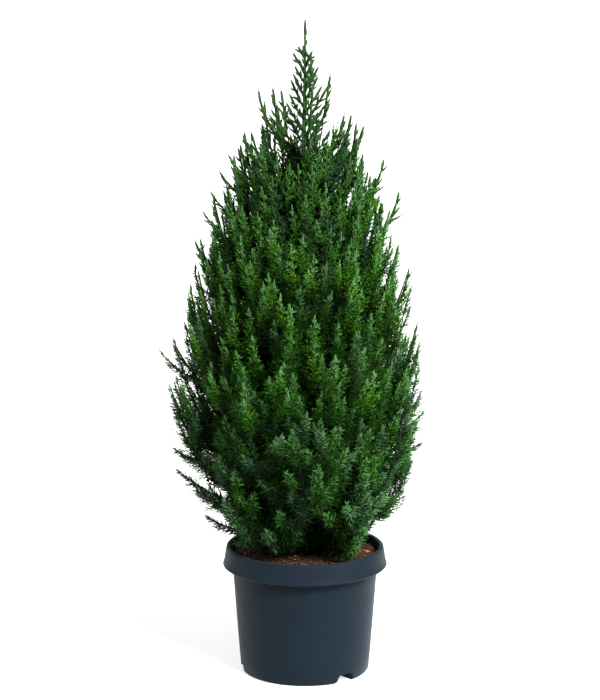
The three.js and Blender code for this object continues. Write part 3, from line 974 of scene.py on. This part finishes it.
def make_chips(random):
    """Bark chips strewn on the soil, sorted by colour."""
    radius = (SOIL_RADIUS - CHIP_MARGIN) * np.sqrt(random.uniform(*CHIP_SPREAD, CHIP_COUNT))
    turn = random.uniform(0, FULL_TURN, CHIP_COUNT)
    centre = scaled(outward_at(turn), radius)
    centre[:, 2] = soil_height(radius / SOIL_RADIUS) + random.uniform(*CHIP_LIFT, CHIP_COUNT)
    # Painted light: chips towards the lit front right are dealt tan and rust more often
    sunny = np.clip((centre[:, 0] - centre[:, 1]) / SOIL_RADIUS, 0, 1)
    deal = random.uniform(0, 1, CHIP_COUNT)
    tan, tan_or_rust = (deal < base + more * sunny for base, more in (TAN_CHANCE, TAN_OR_RUST_CHANCE))
    kinds = np.where(tan, TAN, np.where(tan_or_rust, RUST, DARK))
    length = random.uniform(*CHIP_LENGTH, CHIP_COUNT) * np.where(tan, TAN_CHIP_SIZE, 1)
    width = random.uniform(*CHIP_WIDTH, CHIP_COUNT)
    thick = random.uniform(*CHIP_THICKNESS, CHIP_COUNT)
    heading = outward_at(random.uniform(0, FULL_TURN, CHIP_COUNT))
    heading[:, 2] = random.normal(0, CHIP_TILT, CHIP_COUNT)
    heading = unit(heading)
    across = unit(np.cross(heading, UPRIGHT) + random.normal(0, CHIP_TWIST, (CHIP_COUNT, 3)))
    across = square_to(across, heading)
    over = np.cross(heading, across)
    corners = []
    for up in (-1, 1):
        for along, side in ((-1, -1), (-1, 1), (1, 1), (1, -1)):
            share = random.uniform(*CHIP_CORNER, (3, CHIP_COUNT)) / 2
            lengthways = scaled(heading, along * share[0] * length)
            sideways = scaled(across, side * share[1] * width)
            corners.append(centre + lengthways + sideways + scaled(over, up * share[2] * thick))
    points = np.stack(corners, 1)
    quads = [(0, 3, 2, 1), (4, 5, 6, 7), (0, 1, 5, 4), (1, 2, 6, 5), (2, 3, 7, 6), (3, 0, 4, 7)]
    faces = [part for a, b, c, d in quads for part in ((a, c, b), (a, d, c))]
    for number, (kind, colours) in enumerate(zip(CHIP_KINDS, CHIP_COLOURS)):
        chips = joined_mesh(f"bark_chips_{kind}", *repeated(points[kinds == number], faces))
        dress(chips, wood_finish(f"{kind}_bark_chip", *colours), "potting_soil")


# Trunk and boughs


def ridged(piece, depth, ridges):
    """Bark relief: long uneven ridges that run up a limb, with flakes between them."""
    places, normals = vertex_values(piece, "co"), vertex_values(piece, "normal")
    turn = np.arctan2(normals[:, 1], normals[:, 0])
    height = places[:, 2] / MM
    # Waves of ridges and flakes over the limb's turn and its height in millimetres
    wander = 1.3 * np.sin(height / 17) + 0.7 * np.sin(height / 6.1 + 2)
    ridge = np.abs(np.sin(ridges * turn / 2 + wander)) - 0.5
    flake = np.sin(3 * turn + height / 3.1) * np.sin(height / 2.3 + 2 * turn)
    level = np.abs(normals[:, 2]) < STEEPEST_BARK
    move_vertices(piece, places + scaled(normals, depth * (ridge + FLAKE * flake) * level * MM))


def bark_limb(name, points, radii, sides, depth, ridges, smooth_deg):
    """A limb along points, with the relief of its bark."""
    ahead = Vector(points[1] - points[0])
    limb = drawn_along(name, points, radii, sides, ahead.to_track_quat("Z", "Y").to_euler())
    ridged(limb, depth, ridges)
    smooth_by_angle(limb, smooth_deg)
    return limb


def make_trunk(finish):
    rings, *bark = TRUNK_BARK
    shares = np.linspace(0, TRUNK_SHARE, rings)
    trunk = bark_limb("trunk_bark", axis_at(shares), trunk_radius(shares), *bark)
    dress(trunk, finish, "bark", "trunk")


def make_boughs(limbs, finish):
    rings, *bark = BOUGH_BARK
    shares = np.linspace(0, BOUGH_SHARE, rings)
    radii = lerp(*BOUGH_RADII, shares / BOUGH_SHARE)
    boughs = []
    for index, points in enumerate(places_on(limbs, shares)):
        boughs.append(bark_limb(f"bough_bark_{index + 1:02d}", points, radii, *bark))
    activate(*boughs)
    bpy.ops.object.join()
    joined = named("bough_bark")
    dress(joined, finish, "bark", *[f"bough_{i + 1:02d}" for i in range(LIMB_COUNT)])


# Foliage: stems, twigs and sprays by the source's rule


class Dice:
    """A repeatable run of numbers, the same as the source's."""

    FACTOR = 1664525
    SHIFT = 1013904223
    SPAN = 2**32

    def __init__(self, seed):
        self.state = seed

    def between(self, low, high):
        self.state = (self.FACTOR * self.state + self.SHIFT) % self.SPAN
        return low + (high - low) * self.state / self.SPAN


def stem_curves(limbs):
    """The outer stretch of each limb, and last the leader above the trunk's tip."""
    foot, halfway, tip = axis_at([TRUNK_SHARE, (1 + TRUNK_SHARE) / 2, 1.0])
    leader = np.stack([foot, 2 * halfway - (foot + tip) / 2, tip])
    return np.concatenate([stretch_of(limbs, BOUGH_SHARE, 1), leader[None]])


def places_on(stems, shares):
    """Places along every stem, as stems by shares."""
    return np.stack([point_on(stems, share) for share in shares], 1)


def in_own_space(points, index, stem_places, margin, inset):
    """Whether points are nearest to their own stem, within the crown's outline and over the pot."""
    share = share_of(points)
    from_centre = reach_of(points, crown_centre(share))
    over_rim = from_centre > LIP_RADIUS - 3 * LIP_WIDTH
    gaps = np.linalg.norm(points[:, None, None] - stem_places[None], axis=3).min(2)
    own = gaps[:, index].copy()
    gaps[:, index] = np.inf
    within = from_centre < crown_radius(share) + SPILL - inset
    above = points[:, 2] > np.where(over_rim, POT_HEIGHT, SOIL_TOP) + POT_MARGIN
    return within & above & (own + 2 * margin < gaps.min(1))


def grown_sprays(stems):
    """Each stem's twigs and the sprays that they end in, as two sets of curves."""
    stem_places = places_on(stems, np.linspace(0, 1, STEM_PLACES))
    reaches = np.arange(TWIG_STEP, LONGEST_TWIG + TWIG_STEP, TWIG_STEP)[:, None]
    twigs, sprays = [], []
    for index, stem in enumerate(stems[:, None]):
        dice = Dice(SEED + SEED_STEP * index)
        dice.between(0, math.pi)
        fan = math.pi if index == LIMB_COUNT else math.radians(TWIG_FAN_DEG)
        outward = outward_at(limb_turn(index))
        count = FEWEST_TWIGS + round(float(length_of(stem)[0]) / TWIG_SPACING)
        for number in range(count):
            rank = (number + 0.5 + dice.between(-TWIG_SCATTER, TWIG_SCATTER)) / count
            share = lerp(*TWIG_SPAN, rank)
            foot, tangent = point_on(stem, share)[0], heading_on(stem, share)[0]
            side = 2 * ((number + 0.5) * GOLDEN_SHARE % 1) - 1
            scatter = dice.between(-TWIG_SPIN_SCATTER_DEG, TWIG_SPIN_SCATTER_DEG)
            spin = fan * side + math.radians(scatter)
            dice.between(0, math.pi)
            along = fanned(tangent, outward, spin, math.radians(TWIG_ANGLE_DEG))
            free = in_own_space(foot + along * reaches, index, stem_places, TWIG_MARGIN, TWIG_INSET)
            tip = foot + along * TWIG_STEP * np.cumprod(free).sum() * TWIG_SHARE
            lean = lerp(*SPRAY_LEAN_DEG, share_of(foot))
            rising = unit(lerp(tangent, UPRIGHT, SPRAY_RISE))
            ahead = fanned(rising, outward, spin, math.radians(lean))
            root = tip - ahead * SPRAY_ROOT
            for size in np.arange(1, SHORTEST_SPRAY, -SPRAY_SIZE_STEP):
                ends = root + ahead * SPRAY_LENGTH * size * np.array([[0.5], [1]])
                if in_own_space(ends, index, stem_places, SPRAY_MARGIN, 0).all():
                    sprays.append([root, *ends])
                    twigs.append([foot, (foot + root) / 2 + along * TWIG_BOW, root])
                    break
    return np.array(twigs), np.array(sprays)


def spray_plumes(random, sprays):
    """The plumes that a spray carries: one at its tip and shorter ones to both sides below it."""
    count, share, length = len(sprays), share_of(sprays[:, 2]), length_of(sprays)
    own = by_height(share, PLUME_LENGTH) * random.uniform(*SPRAY_PLUME_SIZES, count)
    plumes = [stretch_of(sprays, np.maximum(0, 1 - own / length), 1)]
    rise = by_height(share, SIDE_PLUME_RISE)[:, None] * UPRIGHT
    for number in range(SIDE_PLUMES):
        rank = (number + random.uniform(*PLACE_SCATTER, count)) / SIDE_PLUMES
        along = lerp(*SIDE_PLUME_SPAN, rank)
        foot = point_on(sprays, along)
        turn = (-1) ** number * SHOOT_FAN_DEG + random.normal(0, SIDE_PLUME_FAN_SCATTER_DEG, count)
        angle = by_height(share, SIDE_PLUME_ANGLE_DEG) + random.normal(0, SIDE_PLUME_SCATTER_DEG, count)
        headings = heading_on(sprays, along)
        heading = fanned(headings, facing_at(foot), np.radians(turn), np.radians(angle))
        side = two_legs(foot, heading, unit(heading + rise), own * lerp(*SIDE_PLUME_SIZES, along))
        tip = side[:, 2]
        within = reach_of(tip, crown_centre(share)) < crown_radius(share_of(tip)) - SIDE_PLUME_INSET
        plumes.append(side[within & (length > SIDE_PLUME_EACH * (number + 1)) & (share < SIDE_PLUMES_TO)])
    return np.concatenate(plumes)


def drawn_in(curves):
    """Draws in what stands out at the crown's right side."""
    low, high = DRAWN_IN_FADE
    fade = np.clip((high - curves[..., 2]) / (high - low), 0, 1)
    nearer = curves.copy()
    nearer[..., 0] -= DRAWN_IN * fade * np.maximum(0, curves[..., 0] - DRAWN_IN_FROM)
    return nearer


# Foliage: finer plumes, side shoots and needles


def plumes_by_tips(tips, headings, lengths, bow_deg):
    """Plume axes that end at tips: each comes from further out and turns up to its tip."""
    flat = unit(headings - UPRIGHT * headings[:, 2:])
    start = unit(headings + flat * np.tan(np.radians(bow_deg))[..., None])
    return two_legs(tips, -headings, -start, lengths)[:, ::-1]


def stem_plumes(stems):
    """The plume that each stem ends in."""
    tips = stems[:, 2]
    headings = unit(heading_on(stems, 1) + STEM_PLUME_RISE * UPRIGHT)
    lengths = by_height(share_of(tips), PLUME_LENGTH) * STEM_PLUME_SIZE
    headings[-1] = UPRIGHT
    lengths[-1] = LEADER_LENGTH
    return plumes_by_tips(tips, headings, lengths, STEM_PLUME_BOW_DEG)


def rising_plumes(random, tips, away, lean, length_share):
    """Plumes to tips on the crown's outline, leaning outwards by an angle in degrees."""
    share = share_of(tips)
    lean = np.radians(lean + random.normal(0, ANGLE_SCATTER_DEG, len(tips)))
    lengths = by_height(share, PLUME_LENGTH) * random.uniform(*PLUME_SIZES, len(tips)) * length_share
    return plumes_by_tips(tips, leaning(away, lean), lengths, by_height(share, PLUME_BOW_DEG))


def outline_plumes(random, count, depths, shares, length_share):
    """Plumes whose tips are spread over the crown by the golden turn, as the limbs' tips are."""
    steps = np.linspace(*shares, OUTLINE_STEPS)
    area = np.cumsum((crown_radius(steps) + OUTLINE_MARGIN) * by_height(steps, PLUME_CROWDING))
    rank = (np.arange(count) + 0.5 + random.uniform(-RANK_SCATTER, RANK_SCATTER, count)) / count
    share = np.interp(rank, area / area[-1], steps)
    turn = GOLDEN_TURN * np.arange(count) + random.normal(0, TURN_SCATTER, count)
    depth = random.uniform(*depths, count) + by_height(share, PLUME_INSET)
    tips = crown_points(share, turn, crown_radius(share) * (1 - depth))
    away = outward_at(turn + random.normal(0, AWAY_SCATTER, count))
    lean = by_height(share, PLUME_LEAN_DEG)
    return in_the_clear(drawn_in(rising_plumes(random, tips, away, lean, length_share)))


def edge_plumes(random):
    """Plumes at the crown's two sides: the chosen tips, and tips that stand about its outline."""
    number = np.arange(EDGE_PLUMES)
    share = lerp(*EDGE_SHARES, (number + 0.5) / EDGE_PLUMES)
    reach = crown_radius(share) + random.uniform(*EDGE_PROUD, EDGE_PLUMES)
    across = crown_centre(share) + np.where(number % 2, 1, -1) * reach
    loose = np.stack([across, height_at(share), by_height(share, PLUME_LEAN_DEG)], 1)
    across, height, lean = np.concatenate([loose, EDGE_TIPS]).T
    tips = np.stack([across, random.uniform(-EDGE_DEPTH, EDGE_DEPTH, len(across)), height], 1)
    away = np.sign(tips[:, :1]) * [[1.0, 0, 0]]
    plumes = rising_plumes(random, tips, away, lean, EDGE_PLUME_SIZE)
    plumes[:, 0] -= away * EDGE_FOOT_INSET
    return in_the_clear(drawn_in(plumes))


def over_pot(curves):
    """Whether curves stay above the pot's rim, or inside it."""
    inside = reach_of(curves) < LIP_RADIUS - 4 * LIP_WIDTH
    return (inside | (curves[..., 2] > POT_HEIGHT + POT_MARGIN)).all(1)


def in_the_clear(plumes):
    """Leaves out the plumes that reach into a gap or down over the pot."""
    free = over_pot(plumes)
    for left, right, front, back, low, high in GAPS:
        for places in (plumes[:, 1], plumes[:, 2]):
            beyond = (places < [left, front, low]) | (places > [right, back, high])
            free &= beyond.any(1)
    return plumes[free]


def leader_plumes(random, leader):
    """Side plumes that climb the leader, shorter towards its tip."""
    number = np.arange(LEADER_PLUMES)
    rank = (number + 0.5) / LEADER_PLUMES
    feet = point_on(np.repeat(leader[None], LEADER_PLUMES, 0), lerp(*LEADER_SPAN, rank))
    turn = random.uniform(-LEADER_TURN_SCATTER, LEADER_TURN_SCATTER, LEADER_PLUMES)
    away = outward_at(np.where(number % 2, math.pi, 0) + turn)
    headings = leaning(away, np.radians(lerp(*LEADER_LEAN_DEG, rank)))
    least, more = LEADER_PLUME_LENGTH
    lengths = least + more * (leader[2, 2] - feet[:, 2])
    lengths = lengths * random.uniform(*LEADER_PLUME_SIZES, LEADER_PLUMES)
    return two_legs(feet, headings, unit(headings + LEADER_PLUME_RISE * UPRIGHT), lengths)


def finger_start(plumes):
    """Where along each plume its smooth last stretch begins."""
    finger = by_height(share_of(plumes[:, 2]), TIP_FINGER)
    return np.maximum(LOWEST_FINGER, 1 - finger / length_of(plumes))


def twigs_to(plumes, stems):
    """Twigs that join each finer plume's foot to the nearest lower place on a stem."""
    shares = np.linspace(*TWIG_STARTS)
    places = places_on(stems, shares).reshape(-1, 3)
    headings = np.stack([heading_on(stems, share) for share in shares], 1).reshape(-1, 3)
    feet = plumes[:, 0]
    gap = feet[:, None] - places[None]
    cost = np.linalg.norm(gap, axis=2)
    cost += TWIG_FALL_COST * np.maximum(0, TWIG_CLIMB - gap[:, :, 2])
    cost += TWIG_RETURN_COST * np.maximum(0, reach_of(places)[None] - reach_of(feet)[:, None])
    nearest = np.argmin(cost, 1)
    start, along = places[nearest], headings[nearest]
    span = np.linalg.norm(feet - start, axis=1)[:, None]
    bend = feet - heading_on(plumes, 0) * span * TWIG_END_BEND
    middle = (bend + start + along * span * TWIG_START_BEND) / 2
    widest = TWIG_REACH * crown_radius(share_of(middle))
    middle[:, :2] *= np.minimum(1, widest / np.maximum(reach_of(middle), 1))[:, None]
    return np.stack([start, middle, feet], 1)


def side_shoots(random, plumes, length_share):
    """Short shoots to both sides of each plume and a few in front, longest below its middle."""
    share = share_of(point_on(plumes, SHOOTS_COUNTED_AT))
    counts = (length_of(plumes) / by_height(share, SHOOT_SPACING)).astype(int)
    counts = np.maximum(FEWEST_SHOOTS, counts)
    run, place = dealt(counts)
    highest = lerp(finger_start(plumes), 1, SHOOTS_UP_FINGER)[run]
    rank = (place + random.uniform(*PLACE_SCATTER, len(run))) / counts[run]
    along = lerp(SHOOTS_FROM, highest, rank)
    foot = point_on(plumes[run], along)
    heading = heading_on(plumes[run], along)
    here = share_of(foot)
    turn = np.where(place % 2, 1, -1) * SHOOT_FAN_DEG * (place % FRONT_SHOOT_EVERY > 0)
    turn = np.radians(turn + random.normal(0, SHOOT_FAN_SCATTER_DEG, len(run)))
    angle = by_height(here, SHOOT_ANGLE_DEG) * (1 - SHOOT_CLOSING * along**2)
    angle = np.radians(angle + random.normal(0, ANGLE_SCATTER_DEG, len(run)))
    outset = fanned(heading, facing_at(foot), turn, angle)
    shape = (1 - along) ** SHOOT_TAPER_POWER * lerp(*SHOOT_FILL, along)
    scale = np.clip(length_of(plumes)[run] / by_height(here, PLUME_LENGTH), *SHOOT_SCALES)
    length = by_height(here, SHOOT_LENGTH) * shape * scale * random.uniform(*SHOOT_SIZES, len(run))
    length = np.maximum(length * length_share, SHORTEST_SHOOT)
    shoots = two_legs(foot, outset, unit(outset + SHOOT_RISE * heading), length)
    free = over_pot(shoots)
    return shoots[free], run[free], along[free]


def needles_on(random, shoots, size, spacing, closeness=0):
    """Needles in whorls round each shoot, smaller and closer to it towards its tip."""
    share = share_of(shoots[:, 1])
    between = by_height(share, WHORL_SPACING) * spacing
    whorls = np.maximum(FEWEST_WHORLS, (length_of(shoots) / between).astype(int))
    run, place = dealt(whorls * NEEDLES_IN_WHORL)
    whorl = place // NEEDLES_IN_WHORL
    turn = FULL_TURN * (place / NEEDLES_IN_WHORL + whorl % 2 / (2 * NEEDLES_IN_WHORL))
    seen = np.cos(turn) > HIDDEN_SIDE
    run, whorl, turn = run[seen], whorl[seen], turn[seen]
    along = (whorl + random.uniform(*WHORL_SCATTER, len(run))) / whorls[run]
    foot = point_on(shoots[run], along)
    heading = heading_on(shoots[run], along)
    here, near = share[run], np.broadcast_to(closeness, len(shoots))[run]
    opening = by_height(here, NEEDLE_ANGLE_DEG) * (1 - by_height(here, NEEDLE_CLOSING) * along**2)
    opening = opening * (1 - CLOSE_ANGLE * near)
    angle = np.radians(opening + random.normal(0, ANGLE_SCATTER_DEG, len(run)))
    turn = turn + random.normal(0, NEEDLE_TURN_SCATTER, len(run))
    direction = fanned(heading, facing_at(foot), turn, angle)
    aside = square_to(direction, heading)
    foot = foot + scaled(aside, by_height(here, SHOOT_RADIUS) * NEEDLE_FOOT * (1 - along))
    length = by_height(here, NEEDLE_LENGTH) * (1 - NEEDLE_SHORTENING * along**3) * size
    length = length * random.uniform(*NEEDLE_SIZES, len(run)) * (1 - CLOSE_LENGTH * near)
    width = by_height(here, NEEDLE_WIDTH) * (1 - NEEDLE_NARROWING * along**2) * size
    return (foot, direction, heading, length, width), run, along


def families_for(random, plumes):
    """Deals a green out to each plume by its height."""
    share = share_of(plumes[:, 2])
    chances = np.stack([by_height(share, column) for column in FAMILY_CHANCES.values()], 1)
    bounds = np.cumsum(chances / chances.sum(1, keepdims=True), 1)
    return (random.uniform(0, 1, len(plumes))[:, None] > bounds).sum(1).clip(0, len(FAMILY_CHANCES) - 1)


def tones_for(random, along):
    """Tones by the place along a plume: painted shade at its foot, its middle, or painted light at its
    tip.
    """
    place = along + random.uniform(-0.5, 0.5, len(along)) * TONE_SPREAD
    return (place > FOOT_TONE_TO).astype(int) + (place > TIP_TONE_FROM)


def deal_out(needles, family, tone, heaps):
    """Sorts needles by their plume's green and by their tone: painted shade goes to the dark shade green,
    painted light to the lighter tip greens.
    """
    heaps["shade"].append(needle_arrays(*[part[tone == PAINTED_SHADE_TONE] for part in needles]))
    for number, name in enumerate(FAMILY_CHANCES):
        for level, suffix in ((MIDDLE_TONE, ""), (PAINTED_LIGHT_TONE, "_tip")):
            chosen = (family == number) & (tone == level)
            heaps[name + suffix].append(needle_arrays(*[part[chosen] for part in needles]))


def outer_needles(random, outer, fingers, heaps):
    """Grows the outer plumes' needles, and their side shoots, which it gives back."""
    families = families_for(random, outer)
    axes = stretch_of(outer, 0, finger_start(outer))
    needles, on, along = needles_on(random, axes, 1, by_height(share_of(axes[:, 1]), AXIS_WHORLS))
    deal_out(needles, families[on], tones_for(random, along), heaps)
    # Painted light: the needles of the fingers at the plumes' tips all take the lighter tip greens
    needles, on, _ = needles_on(random, fingers, *FINGER_NEEDLES)
    deal_out(needles, families[on], np.full(len(on), PAINTED_LIGHT_TONE), heaps)
    shoots, run, place = side_shoots(random, outer, 1)
    needles, on, along = needles_on(random, shoots, 1, 1, place)
    # Painted shade and light on the side shoots too, by their place on the plume and along the shoot
    tones = tones_for(random, lerp(place[on], 1, SHOOT_TONE * along))
    deal_out(needles, families[run][on], tones, heaps)
    return shoots


def shaded_needles(random, heap, sets, size, spacing):
    """Grows needles of one green on sets of curves."""
    for curves in sets:
        needles, _, _ = needles_on(random, curves, size, spacing)
        heap.append(needle_arrays(*needles))


def make_needles(heaps):
    """One piece for each green, cut into parts where it has many needles."""
    for name, colour in NEEDLE_GREENS.items():
        points, faces = gathered(heaps[name])
        needles = points.reshape(-1, NEEDLE_CORNERS, 3)
        gloss = TIP_GLOSS if name.endswith("_tip") else NEEDLE_GLOSS
        finish = needle_finish(f"{name}_needle_green", colour, gloss)
        parts = math.ceil(len(faces) / LARGEST_PIECE)
        for part, group in enumerate(np.array_split(needles, parts)):
            piece = joined_mesh(f"needles_{name}_{part + 1}", *repeated(group, NEEDLE_FACES))
            dress(piece, finish, "needles", *MASSES)


def make_shoots(name, finish, slot, *arrays):
    dress(joined_mesh(name, *gathered(arrays)), finish, slot, *MASSES)


def make_foliage(limbs, random):
    """Grows every curve first, then the needles by their green, then the twigs and shoots."""
    stems = stem_curves(limbs)
    spray_twigs, sprays = (drawn_in(curves) for curves in grown_sprays(stems))
    stems = drawn_in(stems)
    finer = np.concatenate([outline_plumes(random, *OUTER_LAYER), edge_plumes(random)])
    carried = spray_plumes(random, sprays)
    outer = np.concatenate([carried, finer, stem_plumes(stems), leader_plumes(random, stems[-1])])
    middle = outline_plumes(random, *MIDDLE_LAYER)
    inner = outline_plumes(random, *INNER_LAYER)
    fine_twigs = twigs_to(np.concatenate([finer, middle, inner]), stems)
    fingers = stretch_of(outer, finger_start(outer), 1)

    heaps = {name: [] for name in NEEDLE_GREENS}
    shoots = [outer_needles(random, outer, fingers, heaps)]
    # Painted shade: below LIGHTER_FROM half of the plumes behind the outer ones take the dark shade green
    high = share_of(middle[:, 2]) > LIGHTER_FROM
    for name, plumes in (
        ("shade", middle[~high][::2]),
        ("deep", middle[~high][1::2]),
        ("blue", middle[high][::2]),
        ("mid", middle[high][1::2]),
    ):
        shoots.append(side_shoots(random, plumes, 1)[0])
        shaded_needles(random, heaps[name], (plumes, shoots[-1]), *MIDDLE_NEEDLES)
    # Painted shade: the plumes deep in the crown take the darkest, inner green
    inner_shoots = side_shoots(random, inner, INNER_SHOOTS)[0]
    shaded_needles(random, heaps["inner"], (inner, inner_shoots), *INNER_NEEDLES)
    # Painted shade: the needles on the twigs take the dark shade green
    needled_twigs = fine_twigs[: len(finer) + len(middle)]
    shaded_needles(random, heaps["shade"], (spray_twigs, needled_twigs), *TWIG_NEEDLES)
    make_needles(heaps)

    *limb_stems, leader = stems
    limb_stems, shoots = np.array(limb_stems), np.concatenate(shoots)
    young = share_of(limb_stems[:, 1]) > FINGERS_FROM
    upper = share_of(outer[:, 2]) > FINGERS_FROM
    scaly = share_of(shoots[:, 0]) > FINGERS_FROM
    axis_radius = by_height(share_of(outer[:, 1]), PLUME_RADIUS)
    tip_radius = by_height(share_of(outer[:, 2]), TIP_RADIUS)
    radius = by_height(share_of(shoots[:, 0]), SHOOT_RADIUS)
    make_shoots(
        "stems_and_twigs", wood_finish("twig_bark", *TWIG_COLOURS, TWIG_STRETCH), "bark",
        tube_arrays(limb_stems[~young], *STEM_TUBE),
        tube_arrays(spray_twigs, *SPRAY_TWIG_TUBE),
    )
    make_shoots(
        "green_shoots", needle_finish("young_shoot_green", YOUNG_SHOOT_GREEN, NEEDLE_GLOSS), "needles",
        pointed_arrays(outer[~upper], axis_radius[~upper], *SPINDLE),
        pointed_arrays(fingers[~upper], tip_radius[~upper], *SPINDLE),
        pointed_arrays(shoots[~scaly], radius[~scaly], *SPIKE),
    )
    make_shoots(
        "scaly_shoots", needle_finish("scaly_shoot_green", SCALY_SHOOT_GREEN, TIP_GLOSS), "needles",
        tube_arrays(leader[None], *LEADER_TUBE),
        tube_arrays(limb_stems[young], *YOUNG_STEM_TUBE),
        pointed_arrays(outer[upper], axis_radius[upper], *SPINDLE),
        pointed_arrays(fingers[upper], tip_radius[upper], *SPINDLE),
        pointed_arrays(shoots[scaly], radius[scaly], *SPINDLE),
    )
    # Painted shade: the twigs and the axes of sprays and of the plumes behind the outer ones take a dark
    # green
    make_shoots(
        "shaded_twigs", needle_finish("shaded_twig_green", SHADED_TWIG_GREEN, NEEDLE_GLOSS), "needles",
        tube_arrays(middle, *MIDDLE_TUBE),
        tube_arrays(inner, *INNER_TUBE),
        tube_arrays(fine_twigs, *FINE_TWIG_TUBE),
        tube_arrays(sprays, *SPRAY_TUBE),
    )


def main():
    random = np.random.default_rng(SEED)
    studio()
    limbs = limb_curves()
    dress(make_pot(), pot_finish(), "pot_plastic", "pot")
    dress(make_soil(random), soil_finish(), "potting_soil", "soil")
    make_chips(random)
    bark = wood_finish("juniper_bark", *BARK_COLOURS, BARK_STRETCH)
    make_trunk(bark)
    make_boughs(limbs, bark)
    make_foliage(limbs, random)


main()
